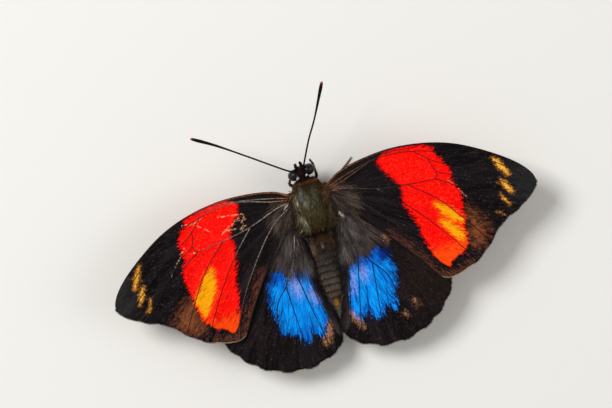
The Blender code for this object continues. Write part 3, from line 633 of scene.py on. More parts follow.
FOREWING_UNDER = wing_scales("forewing_under_scales", "4E3C2A", "6E5638", "8A7048", [
    ("band", "E0521E", "rows", 0.5, 0.4, 1.0),
    ("apex_sheen_and_tint", "9A8458", "rows", 0.8, 2.0, 0.8),
    ("spots", "E8C070", "speck", 0.4, 0.3, 1.0),
])
HINDWING_UPPER = wing_scales("hindwing_upper_scales", "070506", "1D161B", "36241F", [
    ("brown_wash", "46301E", "rows", 3.0, 3.0, 0.12),
    ("root_grey", "4A3F3C", "rows", 0.8, 2.2, 0.9),
    # Painted shade: near black along the inner fold beside the abdomen, over the wing's own dark scales
    ("inner_fold_shade", "060404", "rows", 0.5, 0.6, 0.9),
    ("azure", "021E6E", "rows", 1.0, 0.25, 1.0),
    ("azure_core", "016AD4", "rows", 1.0, 0.7, 1.0),
    ("azure_light", "009EFF", "rows", 1.2, 1.2, 0.92),
    ("azure_streak", "0252B8", "streak", 3.0, 1.6, 0.5),
    ("azure_dark", "022A80", "lines", 2.6, 0.6, 0.72),
    ("lilac", "A8A0DA", "speck", 0.9, 1.0, 0.56),
    ("azure_fold", "05173F", "rows", 0.1, 0.14, 0.9),
    ("tan", "B07C58", "speck", 0.55, 0.75, 0.78),
])
HINDWING_UNDER = wing_scales("hindwing_under_scales", "6A5436", "8E7448", "A08858", [
    ("under_bands", "2E2016", "rows", 0.4, 0.3, 0.85),
    ("ocellus_ring", "B8923E", "rows", 0.15, 0.12, 1.0),
    ("ocellus", "120D10", "rows", 0.12, 0.1, 1.0),
    ("ocellus_light", "8FB4D8", "rows", 0.1, 0.1, 1.0),
])
VEIN_HORN = vein_horn()
FUR = fur()
EYE_LENSES = eye_lenses()
# Skin close under the fur: matt, grainy, and darker than the coat
BODY_SKIN = mottled_horn("body_skin", 0.7, 0.1, (0.25, 4.0, 0.65), (0.45, 1.0), (0.6, 0.08))
# Thin bare horn of legs, palps and tongue: satin, with a little gloss
LIMB_HORN = mottled_horn("limb_horn", 0.42, 0.45, (0.2, 3.0), (0.6, 1.2), (0.4, 0.04))
# Feelers keep their scales almost to the tip, so they are matt
FEELER_HORN = mottled_horn("feeler_horn", 0.65, 0.12, (0.2, 3.0), (0.6, 1.2), (0.4, 0.04))


# Coat

TUFT_STEPS = np.array([0.0, 0.4, 0.75, 1.0])
TUFT_WIDTHS = np.array([1.0, 0.8, 0.45])
# Painted shade along each tuft: darkest at the root, lighter towards the tip
TUFT_SHADES = np.repeat([0.3, 0.8, 1.15, 1.35], [3, 3, 3, 1])
TUFT_POINTS = 10
TUFT_FACES = bands(3, 3, backward=True) + [(6, 7, 9), (7, 8, 9), (8, 6, 9), (2, 1, 0)]
TUFT_CYCLE = np.array([i for face in TUFT_FACES for i in face])
TUFT_UNWRAP = 0.003 * np.array([(j / 3, k / 3) for j in range(3) for k in range(3)] + [(1.0, 0.5)])
TUFTS_IN_PIECE = 12000


def body_unwrap(places):
    """Round the body by its height and width, and along it from tail to head."""
    x, y, z = places.T
    middle = np.interp(y, [-24, -15, -8, 6], [4.6, 5.4, 6.0, 6.4])
    round_it = np.arctan2(x, z - middle) / (2 * math.pi) + 0.5
    return np.column_stack([0.98 * round_it, ramp(y, -25, 10) * 0.98])


def wing_unwrap(places):
    """A wing's own flat sheet, with the left one beside the right."""
    x, y, _ = places.T
    return np.column_stack([ramp(x, -48, 49), ramp(y, -36, 7)]) * 0.98


def make_coat(name, roots, normals, lies, lengths, widths, lift, droop, colours, slot):
    """Closed three-sided tufts that taper, rise from the skin and bend back along it.

    Lift is the angle at which they rise, in radians; droop is the share of their length that the tip sinks.
    """
    count = len(roots)
    lies = unit(lies - np.sum(lies * normals, axis=1)[:, None] * normals)
    across = np.cross(normals, lies)
    lies = lies + rng.normal(0, 0.12, count)[:, None] * across
    rise = lift * rng.uniform(0.7, 1.3, count)
    t = TUFT_STEPS[None, :, None]
    climb = np.sin(rise)[:, None, None] * t - droop * t ** 2
    spine = roots[:, None] + lengths[:, None, None] * (
        np.cos(rise)[:, None, None] * t * lies[:, None] + climb * normals[:, None]
    )
    turn = np.array([0.5, 7 / 6, 11 / 6]) * math.pi
    along, upward = np.cos(turn)[None, :, None], 0.6 * np.sin(turn)[None, :, None]
    ring = along * across[:, None] + upward * normals[:, None]
    girth = 0.5 * widths[:, None, None, None] * TUFT_WIDTHS[None, :, None, None]
    rings = spine[:, :3, None] + girth * ring[:, None]
    points = np.concatenate([rings.reshape(count, 9, 3), spine[:, 3:]], axis=1)
    # Each tuft's own random depth of colour, times the painted shade from root to tip
    shade = rng.uniform(0.72, 1.2, count)[:, None] * TUFT_SHADES
    place = wing_unwrap(roots) if slot in ("forewing", "hindwing") else body_unwrap(roots)
    pieces = math.ceil(count / TUFTS_IN_PIECE)
    for part, chosen in enumerate(np.array_split(np.arange(count), pieces)):
        starts = range(0, TUFT_POINTS * len(chosen), TUFT_POINTS)
        faces = [tuple(s + i for i in face) for s in starts for face in TUFT_FACES]
        values = {"hue": np.repeat(colours[chosen], TUFT_POINTS, axis=0), "shade": shade[chosen].ravel()}
        label = f"{name}_{part + 1}" if pieces > 1 else name
        piece = make_piece(label, points[chosen].reshape(-1, 3), faces, FUR, (), values)
        layer = piece.data.uv_layers.new(name="OFBake")
        spots = (place[chosen][:, None] + TUFT_UNWRAP[None, TUFT_CYCLE]).reshape(-1, 2)
        layer.data.foreach_set("uv", spots.astype(np.float32).ravel())


def combed(roots, lies, sway):
    """Lies turned together in soft locks, a few tenths of a millimetre to a millimetre wide."""
    turn = [
        noise.noise(Vector((x * 1.3, y * 0.45, z * 1.3)))
        + 0.6 * noise.noise(Vector((x * 3.1, y * 1.1, z * 3.1)))
        for x, y, z in roots
    ]
    lies = lies.copy()
    lies[:, 0] += np.array(turn) * sway
    return lies


# Wings

VEIN_STEP = 0.4
VEIN_SIDES = 8
SCALLOPS = {  # shares of the way round between which the margin is drawn in, and how deep
    "forewing": (0.5, 0.83, 0.2), "hindwing": (0.3, 0.74, 0.3),
}
SCALE_ROOTS = {"forewing": (4.2, -0.6), "hindwing": (4.2, -4.6)}  # where the rows of scales fan out from
SCALE_FAN = 17.0  # millimetres across the rows to a radian of the fan
RIGHT_GRAIN_SHIFT = 60  # so that the two sides don't mirror each other's grain
FOREWING_REAR = slice(15, 20)  # corners of the outline along this margin
HINDWING_INNER = slice(-10, -1)
RIDGE_RISE, RIDGE_WIDTH = 0.08, 0.3
PLEAT_DROP, PLEAT_REACH = 0.20, 1.6
SWELL_RISE, SWELL_PITCH = 0.2, 0.16
SHEET_SPACING = 0.27
CREST_FROM_EDGE, CREST_FROM_CREST = 0.2, 0.16  # least gaps between the sheet's points
FILL_FROM_EDGE, FILL_FROM_CREST = 0.17, 0.15
MEMBRANE_HALF = 0.03  # at the edge, and twice that inside it
FRINGE_COUNT = 2600
FRINGE_START = {"forewing": 0.46, "hindwing": 0.1}  # share of the way round from the wing's front root
STRIP_WIDTH = {"right": 0.6, "left": 0.9}  # brown, along the forewing's rear margin
ORANGE_FROM = {"right": -18.0, "left": -19.2}
SMUDGE_SHRINK = {"right": 1.0, "left": 0.0}
AZURE_CORE_END = {"right": 10.1, "left": 11.4}
AZURE_LIGHT_FROM = {"right": -17.6, "left": -16.1}
WASH_REACH = {"right": 6.0, "left": 1.0}
# How far the painted shade along each hindwing's inner fold reaches, in millimetres
INNER_FOLD_SHADE_WIDTH = {"right": 0.9, "left": 1.5}


def folded(word):
    """The hindwing's edge with its inner margin drawn in beside the abdomen."""
    count = len(FOLD_SHARES)
    outer, inner = HINDWING_OUTLINE[:-count], HINDWING_OUTLINE[-count:]
    reach = INNER_FOLDS[word][1]
    return outer + [(x - reach * share, y) for (x, y), share in zip(inner, FOLD_SHARES)]


def wing_level(x, y):
    """Height midway between the forewing and the hindwing."""
    out = np.maximum(np.abs(x) - WING_ROOT_X, 0.0)
    rear = np.minimum(y, 0.0)
    return WING_ROOT_Z + WING_RISE * out - WING_TIP_SAG * out ** 2 - WING_REAR_SAG * rear ** 2


def swung(plan, pose):
    """Wing places after the wing is swung about its root."""
    swing, share = pose
    root = np.array(SWING_CENTRE)
    free = (plan[:, 0] - WING_ROOT_X) / SWING_REACH + np.maximum(0, FREE_MARGIN_Y - plan[:, 1])
    reach = np.clip(free, 0.0, 1.0)
    turn = math.radians(swing) * reach
    x, y = (plan - root).T
    grown = 1 + (share - 1) * reach
    turned = np.column_stack([x * np.cos(turn) - y * np.sin(turn), x * np.sin(turn) + y * np.cos(turn)])
    return root + grown[:, None] * turned


def scalloped(corners, ends, first, last, depth):
    """The wing's edge, drawn in a little between the vein ends along its outer margin."""
    line = smooth_line(corners[:-1], 0.25)
    ahead = np.gradient(line, axis=0)
    inward = unit(np.column_stack([ahead[:, 1], -ahead[:, 0]]))
    run = np.arange(len(line)) / len(line)
    outer = np.clip(np.minimum(run - first, last - run) / 0.04, 0.0, 1.0)
    pull = depth * outer * np.clip(distance_to_places(line, ends) / 1.8, 0.0, 1.0) ** 2
    return np.vstack([line + pull[:, None] * inward, corners[-1:]])


class Wing:
    """One wing's edge, vein courses and height in the set pose, which all its pieces share."""

    def __init__(self, kind, word):
        fore = kind == "forewing"
        self.kind, self.word, self.side = kind, word, SIDES[word]
        self.name = f"{kind}_{word}"
        self.veins = FOREWING_VEINS if fore else HINDWING_VEINS
        self.courses = [smooth_line(path, VEIN_STEP) for *_, path in self.veins.values()]
        self.ends = np.array([path[-1] for *_, path in self.veins.values()])
        self.pose = WING_POSES[word][0 if fore else 1]
        self.lift = WING_APART / 2 if fore else -WING_APART / 2
        corners = np.array(FOREWING_OUTLINE if fore else folded(word))
        self.fold = None if fore else (corners[HINDWING_INNER], INNER_FOLDS[word][0])
        self.outline = scalloped(corners, self.ends, *SCALLOPS[kind])

    def height(self, plan, at):
        """The membrane's middle: its level, the ridge at each vein and soft pleats between."""
        vein_gap = np.min([distance_to_line(plan, course)[0] for course in self.courses], axis=0)
        z = wing_level(*at.T) + self.lift
        ridge = RIDGE_RISE * np.exp(-(vein_gap / RIDGE_WIDTH) ** 2)
        z += ridge - PLEAT_DROP * np.clip(vein_gap / PLEAT_REACH, 0, 1) ** 2
        if self.fold:
            inner_margin, drop = self.fold
            bend = np.maximum(0.0, 1 - distance_to_line(plan, inner_margin)[0] / FOLD_WIDTH)
            z -= drop * bend ** 2
        swell = [noise.noise(Vector((x * SWELL_PITCH, y * SWELL_PITCH, self.lift))) for x, y in at]
        return z + SWELL_RISE * np.array(swell)

    def stood(self, at, z):
        """Places in the pose, on the wing's own side of the body and at a height."""
        return np.column_stack([self.side * at[:, 0], at[:, 1], z + np.zeros(len(at))])


def forewing_markings(at, word):
    """How deep in each of the forewing's markings a place lies, in millimetres.

    Flecks keep a depth just below nought all over the band, so that only the peaks of the grain show them.
    """
    band = depth_in_patch(at, SCARLET_BAND[word])
    lens = np.max([depth_in_patch(at, corners) for corners in YELLOW_LENSES[word]], axis=0)
    spots = depth_in_streaks(at, APEX_SPOTS[word])
    rear_margin = swung(np.array(FOREWING_OUTLINE[FOREWING_REAR]), WING_POSES[word][0])
    return {
        "band": band + 0.05,
        "band_core": band - 0.15,
        "band_fleck": np.minimum(8 * band - 4.0, 0.0) - 1.3,
        "lens": lens + 0.3,
        "lens_core": lens - 0.25,
        "orange_tail": np.minimum(8 * band, ORANGE_FROM[word] - at[:, 1]),
        "spots": spots,
        "spots_core": spots - 0.3,
        "smudge": depth_in_patch(at, BROWN_SMUDGE[word]) - SMUDGE_SHRINK[word],
        "scratch": depth_in_streaks(at, SCRATCHES[word]),
        "hind_strip": STRIP_WIDTH[word] - distance_to_line(at, rear_margin)[0],
        # Towards the apex: greyed by painted sheen on the upper side, tinted tan below
        "apex_sheen_and_tint": 5.0 - np.hypot(at[:, 0] - 44.5, at[:, 1] + 9.5),
    }


def hindwing_markings(at, word):
    """How deep in each of the hindwing's markings, above and below, a place lies.

    Streaks and dark lines keep a depth just below nought all over the patch, as the forewing's flecks do.
    """
    x, y = at.T
    azure = depth_in_patch(at, AZURE_PATCH[word])
    inner_margin = swung(np.array(folded(word)[HINDWING_INNER]), WING_POSES[word][1])
    out = np.hypot(x - 5.0, y + 7.0)
    ocellus = np.min([np.hypot(x - ox, y - oy) for ox, oy in OCELLI], axis=0)
    return {
        "azure": azure,
        "azure_core": np.minimum(azure - 0.4, AZURE_CORE_END[word] - x),
        "azure_light": np.minimum(azure - 0.9, AZURE_LIGHT_FROM[word] - y),
        "azure_dark": np.minimum(8 * azure - 4.0, 0.0) - 1.0,
        "azure_streak": np.minimum(8 * azure - 4.0, 0.0) - 0.6,
        "lilac": depth_in_streaks(at, LILAC_WEAR[word]),
        "tan": depth_in_streaks(at, TAN_MARKS[word]),
        "azure_fold": depth_in_streaks(at, AZURE_FOLDS[word]),
        "brown_wash": WASH_REACH[word] - np.hypot(x - 17.5, y + 23.5),
        "root_grey": 8.5 - np.hypot(x - 5.0, (y + 6.5) * 0.9),
        # Painted shade along the inner fold beside the abdomen
        "inner_fold_shade": INNER_FOLD_SHADE_WIDTH[word] - distance_to_line(at, inner_margin)[0],
        "under_bands": 0.75 - np.min([np.abs(out - reach) for reach in UNDER_BAND_REACHES], axis=0),
        "ocellus_ring": 1.35 - ocellus,
        "ocellus": 1.0 - ocellus,
        "ocellus_light": 0.32 - ocellus,
    }


def wing_sheet(outline, courses):
    """Flat places and triangles of a wing: its edge, its vein crests and an even fill."""
    edge_line = np.vstack([outline, outline[:1]])
    kept = [tuple(p) for p in outline]
    crest_edges = []
    crests = np.empty((0, 2))
    for course in courses:
        edge_gap, _ = distance_to_line(course, edge_line)
        start_gap = distance_to_places(course, crests) if len(crests) else np.full(len(course), 9.0)
        clear = (edge_gap > CREST_FROM_EDGE) & (start_gap > CREST_FROM_CREST)
        last = None
        for place, fits in zip(course, is_inside(course, outline) & clear):
            if not fits:
                last = None
                continue
            if last is not None:
                crest_edges.append((last, len(kept)))
            last = len(kept)
            kept.append(tuple(place))
        crests = np.vstack([crests, course])
    low, high = outline.min(0), outline.max(0)
    fill = []
    for i, y in enumerate(np.arange(low[1], high[1], SHEET_SPACING * 0.866)):
        x = np.arange(low[0] + (i % 2) * SHEET_SPACING / 2, high[0], SHEET_SPACING)
        fill.append(np.column_stack([x, np.full(len(x), y)]))
    fill = np.vstack(fill)
    edge_gap, _ = distance_to_line(fill, edge_line)
    crest_gap = np.min([distance_to_line(fill, course)[0] for course in courses], axis=0)
    clear = (edge_gap > FILL_FROM_EDGE) & (crest_gap > FILL_FROM_CREST)
    fill = fill[is_inside(fill, outline) & clear]
    places = [Vector(p) for p in kept] + [Vector(p) for p in fill]
    ring = [tuple(range(len(outline)))]
    flat, _, triangles, *_ = delaunay_2d_cdt(places, crest_edges, ring, 1, 1e-6)
    return np.array([tuple(p) for p in flat]), np.array(triangles)


def make_sheet(wing, finishes, markings):
    """The two-sided scaled membrane; gives its flat plan and its upper surface."""
    plan, triangles = wing_sheet(wing.outline, wing.courses)
    at = swung(plan, wing.pose)
    z = wing.height(plan, at)
    margin, _ = distance_to_line(plan, np.vstack([wing.outline, wing.outline[:1]]))
    half = MEMBRANE_HALF + MEMBRANE_HALF * np.clip(margin / 0.8, 0, 1)
    top, bottom = wing.stood(at, z + half), wing.stood(at, z - half)
    away = plan - np.array(SCALE_ROOTS[wing.kind])
    across = np.arctan2(away[:, 1], away[:, 0]) * SCALE_FAN + (RIGHT_GRAIN_SHIFT if wing.side > 0 else 0)
    values = {"lie": np.column_stack([np.hypot(*away.T), across, np.full(len(plan), 3.0 * wing.lift)])}
    values.update(markings(at, wing.word))
    a, b, c = (plan[triangles[:, i]] for i in range(3))
    if (np.median(np.cross(b - a, c - a)) > 0) != (wing.side > 0):
        triangles = triangles[:, ::-1]
    count = len(plan)
    seen = {(a, b) for face in triangles.tolist() for a, b in zip(face, face[1:] + face[:1])}
    rim = [(b, a, a + count, b + count) for a, b in seen if (b, a) not in seen]
    faces = triangles.tolist() + (triangles[:, ::-1] + count).tolist() + rim
    under = [0] * len(triangles) + [1] * len(triangles) + [0] * len(rim)
    make_piece(
        wing.name + "_scales", np.vstack([top, bottom]), faces, finishes[0], (wing.name,),
        {key: np.concatenate([value, value]) for key, value in values.items()}, (finishes[1], under),
    )
    return plan, top


def make_veins(wing):
    """The vein tubes, half sunk in the membrane so that they stand out above and below."""
    own = 0 if wing.side > 0 else 1
    parts = []
    for (label, (thick, thin, pale_lengths, _)), course in zip(wing.veins.items(), wing.courses):
        plan = course[is_inside(course, wing.outline)]
        at = swung(plan, wing.pose)
        line = wing.stood(at, wing.height(plan, at) + 0.03)
        run = run_along(line)
        radii = 0.5 * (thick + (thin - thick) * np.sqrt(run / run[-1]))
        points, faces = rod(line, radii, VEIN_SIDES, 0.7)
        warm = np.clip(1.4 - run / REDDISH_VEINS.get(label, (0.4, 0.4))[own], 0.0, 1.0)
        pale = np.clip(1.15 - run / pale_lengths[own], 0.0, 1.0) if pale_lengths[own] else 0 * run
        pale *= 0.95 + 0.1 * warm if own else 0.14 + 0.66 * warm
        red = np.clip(depth_in_patch(at, SCARLET_BAND[wing.word]) / 0.4, 0.0, 1.0) * (wing.kind == "forewing")
        values = {"pale": pale, "warm": warm, "red": red}
        parts.append((points, faces, {key: np.repeat(value, VEIN_SIDES) for key, value in values.items()}))
    points, faces, values = joined(parts)
    make_piece(wing.name + "_veins", points, faces, VEIN_HORN, (), values)


def make_fringe(wing):
    """Short hair-scales all round the free edge: pale between the veins of the outer margin, else dark."""
    outline = wing.outline
    step = np.hypot(*np.diff(outline, axis=0).T)
    free = np.arange(len(step)) > FRINGE_START[wing.kind] * len(step)
    free &= (outline[:-1, 0] > 4.8) | (outline[:-1, 1] < -8.0)
    index = rng.choice(len(step), FRINGE_COUNT, p=step * free / np.sum(step * free))
    t = rng.uniform(0, 1, FRINGE_COUNT)[:, None]
    plan = outline[index] * (1 - t) + outline[index + 1] * t
    ahead = (outline[index + 1] - outline[index]) / step[index][:, None]
    outward = np.column_stack([-ahead[:, 1], ahead[:, 0]])
    at = swung(plan, wing.pose)
    lies = wing.stood(swung(plan + 0.1 * outward, wing.pose) - at, 0.0)
    roots = wing.stood(at, wing.height(plan, at)) - 0.5 * lies
    x, y = plan.T
    if wing.kind == "hindwing":
        pale = ramp(distance_to_places(plan, wing.ends), 1.0, 1.5)
        pale = pale * ramp(y, -30.5, -32.0) * (x > 1.0)
    else:
        pale = ramp(x, 21.0, 22.0) * ramp(x, 29.0, 27.5) * ramp(y, -21.5, -22.5)
    pale = pale * rng.uniform(0.2, 1.0, FRINGE_COUNT)
    dark = linear("1A1413") * rng.uniform(0.6, 1.8, FRINGE_COUNT)[:, None]
    colours = toward(dark, "C4B684", pale)
    if wing.kind == "forewing":
        tan = ramp(x, 11.5, 8.5) * ramp(y, -2.5, -3.5)
        colours = toward(colours, "9A8058", tan * rng.uniform(0.1, 0.9, FRINGE_COUNT))
    make_coat(
        wing.name + "_fringe", roots, np.tile((0.0, 0.0, 1.0), (FRINGE_COUNT, 1)), lies,
        rng.uniform(0.22, 0.42, FRINGE_COUNT), np.full(FRINGE_COUNT, 0.06), 0.05, 0.04, colours, wing.kind,
    )


WING_FUR = {  # how many tufts, where they fan out from, their dark and pale colours and their length
    "forewing": (2600, (3.0, 0.4), "2C2220", "7E6C5C", 0.75),
    "hindwing": (6600, (4.2, -3.5), "3A302F", "968A84", 1.0),
}


def make_wing_fur(wing, plan, top):
    """Long fur that runs from the body over the wing's root and inner margin."""
    x, y = plan.T
    if wing.kind == "hindwing":
        inner = distance_to_line(plan, np.array(HINDWING_OUTLINE[HINDWING_INNER]))[0]
        before_rear = y > -28
        weight = np.clip(1.15 - np.hypot((x - 4.0) / 5.4, (y + 6.0) / 9.0), 0, 1) ** 1.4
        rear = ramp(y, -21.0, -22.5) * before_rear
        weight = weight + (1.1 * before_rear + 2.0 * rear) * np.clip(1 - inner / 0.9, 0, 1)
        edge = np.clip(1.25 - inner / 0.8, 0, 1)
    else:
        weight = np.clip(1.1 - np.hypot((x - 4.4) / 5.4, (y + 3.2) / 5.6), 0, 1) ** 1.6
        edge = np.zeros(len(plan))
    count, root, dark, pale, reach = WING_FUR[wing.kind]
    index = rng.choice(len(plan), count, p=weight / weight.sum())
    edge = edge[index][:, None]
    from_root = plan[index] - np.array(root)
    away = 0.75 * unit(from_root) + 0.25 * np.array((0.1, -1.0))
    away = away * (1 - edge) + edge * np.array((-0.8, -0.6))
    lies = wing.stood(away, 0.0)
    lengths = rng.uniform(1.2, 3.0, count) * reach * (1 - 0.45 * edge[:, 0])
    streaks = [
        noise.noise(Vector((12.0 * math.atan2(b, a), 0.25 * math.hypot(a, b), 7.0))) for a, b in from_root
    ]
    mixed = np.clip(0.2 + 0.9 * np.array(streaks) + rng.normal(0, 0.18, count), 0, 1)
    # Painted shade: fur near the inner margin is darkened towards black beside the abdomen
    colours = toward(np.tile(linear(dark), (count, 1)), pale, mixed) * (1 - 0.85 * edge)
    colours[np.hypot(*(plan[index] - np.array(WING_FLECKS[wing.word])).T) < 0.3] = linear("F6F4EE")
    make_coat(
        wing.name + "_fur", top[index], np.tile((0.0, 0.0, 1.0), (count, 1)), combed(top[index], lies, 0.25),
        lengths, rng.uniform(0.05, 0.1, count), 0.14, 0.12, colours, wing.kind,
    )


def make_wings():
    """Each side's forewing and hindwing, and then the fur over their roots."""
    for word in ("right", "left"):
        forewing, hindwing = Wing("forewing", word), Wing("hindwing", word)
        sheets = {}
        for wing, finishes, markings in (
            (forewing, (FOREWING_UPPER, FOREWING_UNDER), forewing_markings),
            (hindwing, (HINDWING_UPPER, HINDWING_UNDER), hindwing_markings),
        ):
            sheets[wing] = make_sheet(wing, finishes, markings)
            make_veins(wing)
            make_fringe(wing)
        for wing, (plan, top) in sheets.items():
            make_wing_fur(wing, plan, top)


# Body

BODY_TONES = [  # along the body from tail to head: place, colour
    (-23.6, "A0682A"), (-22.8, "66523E"), (-19.0, "645A4E"), (-14.0, "463D38"), (-11.5, "40342C"),
    # Painted shade: the near-black tones at -8.2 and -7.7 darken the groove between thorax and abdomen
    (-9.4, "3E2A18"), (-8.2, "140C05"), (-7.7, "140C05"), (-7.0, "35260E"), (-5.0, "4C3E22"),
    (-2.0, "585034"), (1.6, "3E3018"), (2.5, "322210"), (2.95, "62381C"), (3.3, "2A1A10"),
    (4.0, "1A100D"), (7.0, "120C0B"),
]
# Real marks of the coat, with painted highlights and painted shade among them
BODY_MARKS_AND_PAINTED_LIGHT = [  # middle, half sizes, colour, strength
    # The first three marks are painted highlights: pale grey-green streaks over the top of the thorax
    ((-1.3, 0.2), (0.5, 1.8), "80857A", 0.6), ((-0.5, -0.3), (0.3, 1.2), "6C7468", 0.6),
    ((0.9, 0.3), (0.35, 1.5), "5E6355", 0.5), ((0.5, -2.4), (0.8, 2.0), "3A331E", 0.5),
    ((2.2, -1.4), (0.7, 2.2), "2E2514", 0.6), ((2.9, -3.0), (0.7, 1.8), "3E2616", 0.6),
    ((-2.7, 0.2), (0.6, 1.6), "8E8068", 0.6), ((-3.1, -3.2), (0.5, 1.0), "9A8C76", 0.75),
    ((-2.55, -4.5), (0.5, 1.0), "A09480", 0.8), ((-1.9, -5.8), (0.5, 0.9), "948A76", 0.75),
    ((1.1, -6.0), (1.0, 1.0), "4E3714", 0.6), ((-3.1, 1.6), (0.5, 0.6), "6A3A1A", 0.6),
    ((3.2, 0.8), (0.5, 1.0), "6A3A1A", 0.45), ((3.5, -1.0), (0.5, 1.0), "4E2E1A", 0.5),
    # The first mark below is a painted shadow, near black in the groove between thorax and abdomen
    ((-0.1, -8.0), (1.4, 0.32), "0A0603", 0.95), ((-0.1, -9.3), (0.8, 0.6), "643A20", 0.35),
    ((-0.3, -10.8), (0.22, 0.7), "968C7C", 0.65), ((-0.75, -23.0), (0.6, 0.7), "E09A34", 0.95),
    ((-2.2, -10.4), (0.7, 1.5), "8A6E54", 0.7), ((-0.4, -11.6), (0.6, 0.4), "120C08", 0.75),
    # The second mark below is painted shade, darkening the abdomen's right side
    ((-1.5, -13.4), (0.8, 0.8), "5C4C48", 0.5), ((1.5, -16.5), (0.8, 5.0), "1C1713", 0.65),
    ((1.9, -5.6), (1.4, 1.4), "33271A", 0.6), ((1.9, -9.6), (0.5, 1.2), "64482A", 0.5),
    ((-0.35, 5.3), (0.35, 0.6), "5A2616", 0.5), ((-0.25, 6.1), (0.2, 0.2), "B88A70", 0.7),
]
NECK_PATH = [(-0.2, 4.9, 6.4), (-0.15, 3.9, 6.3), (-0.1, 2.6, 6.2)]
WAIST_PATH = [(0.0, -7.0, 5.9), (0.0, -8.6, 5.8), (0.0, -9.6, 5.8)]
MOUTH_PATH = [(0, 0.3, -1.0), (0, 0.55, -2.1)]  # in the head's own measures
SKIN_VOXEL = 0.11
ABDOMEN_FRONT = -8.2
BEND_START, BEND_LENGTH = -8.15, 15.55
FIRST_RING, LAST_RING, ABDOMEN_END = -8.6, -23.2, -24.6
HAIR_MIDDLE = (0.0, -0.28, 0.0)  # from an abdomen hair's root back to the part that shows


def ring_share(y):
    """How far back in its own ring of the abdomen a place lies, with its distance from the ring's front."""
    front = min((r for r in (FIRST_RING, *RING_PLACES) if r > y), default=FIRST_RING)
    rear = max((r for r in (*RING_PLACES, LAST_RING) if r <= y), default=ABDOMEN_END)
    return (front - y) / (front - rear), abs(front - y)


def abdomen_ring(y):
    """Each ring of the abdomen swells to its rear edge and overhangs the next."""
    share, gap = ring_share(y)
    return 0.15 * share - 0.1 * math.exp(-(gap / 0.14) ** 2)


def abdomen_tone(y):
    """Dark in the fold where one ring goes under the next and paler on its rear edge, less so ahead."""
    share, gap = ring_share(y)
    plain = min(max((-10.5 - y) / 4.0, 0.45), 1.0)
    return 1 + plain * (0.86 * share - 0.38 - 0.52 * math.exp(-(gap / 0.3) ** 2))


def abdomen_bend(y):
    """How far the abdomen swings to the left on its way back."""
    return ABDOMEN_BEND * max(0.0, (BEND_START - y) / BEND_LENGTH) ** 1.5


def body_colour(places):
    """The colour of fur and skin alike at places on the body, with painted highlights and painted shade."""
    x, y, z = places.T
    stops = [stop for stop, _ in BODY_TONES]
    tones = np.array([linear(code) for _, code in BODY_TONES])
    colour = np.column_stack([np.interp(y, stops, tones[:, i]) for i in range(3)])
    upper = np.where(y < -21.0, 1.0, np.clip((z - np.where(y < -8.5, 4.9, 6.0)) / 1.2, 0.0, 1.0))
    wander = [0.3 * noise.noise(Vector((a * 0.9, b * 0.35, 3.0))) for a, b in zip(x, y)]
    rings = [abdomen_tone(b + shift) if b < ABDOMEN_FRONT else 1.0 for b, shift in zip(y, wander)]
    colour *= np.array(rings)[:, None]
    for (cx, cy), (rx, ry), code, strength in BODY_MARKS_AND_PAINTED_LIGHT:
        reach = np.sqrt(((x - cx) / rx) ** 2 + ((y - cy) / ry) ** 2)
        colour = toward(colour, code, strength * upper * np.clip(1.6 - 1.1 * reach, 0.0, 1.0))
    shoulder = ramp(np.abs(x), 3.3, 3.8) * ramp(y, 2.0, 0.0)
    flank = ramp(z, 6.0, 4.0) * ramp(y, 4.0, 2.0)
    return toward(toward(colour, "2A1F18", 0.75 * shoulder), "6A5640", 0.6 * flank)


def section(sections, y, coat):
    """The skin's oval at a place along the body: half width, middle height and half height."""
    places = [-s[0] for s in sections]
    half_width, top, bottom = (float(np.interp(-y, places, [s[i] for s in sections])) for i in (1, 2, 3))
    half_height = (top - bottom) / 2
    return max(half_width - coat, 0.1), (top + bottom) / 2, max(half_height - coat, 0.1)


def loft(sections, stations, coat, bend=None, ring_swell=None, sides=40):
    """A closed form through ovals from front to back."""
    turn = np.linspace(0, 2 * math.pi, sides, endpoint=False)
    points = []
    for y in stations:
        half_width, middle, half_height = section(sections, y, coat)
        swell = ring_swell(y) if ring_swell else 0.0
        x = bend(y) if bend else 0.0
        points.append(np.column_stack([
            x + (half_width + swell) * np.cos(turn), np.full(sides, y),
            middle + (half_height + swell) * np.sin(turn),
        ]))
    count = len(stations)
    front, rear = tuple(reversed(range(sides))), tuple(range((count - 1) * sides, count * sides))
    return np.vstack(points), [front] + bands(count, sides, backward=True) + [rear]


def in_head(point, side=1):
    """A place given in the head's own measures, for either side, in the animal's."""
    x, y, z = point
    return tuple(Matrix.Rotation(HEAD_TURN, 3, "Z") @ Vector((side * x, y, z)) + HEAD_AT)


def skin_stalks():
    """Lines with their radius at start and end: neck, waist, and sockets of legs, feelers and tongue."""
    stalks = [(smooth_line(NECK_PATH, 0.3), 1.15, 1.15, 20), (smooth_line(WAIST_PATH, 0.3), 1.75, 1.75, 24)]
    stalks += [(smooth_line(points[:2], 0.3), 0.75, 0.4, 14) for points in LEG_PATHS.values()]
    stalks += [(smooth_line(points[:2], 0.2)[:4], 0.42, 0.3, 14) for points in ANTENNA_PATHS.values()]
    return stalks + [(smooth_line([in_head(p) for p in MOUTH_PATH], 0.3), 0.7, 0.4, 14)]


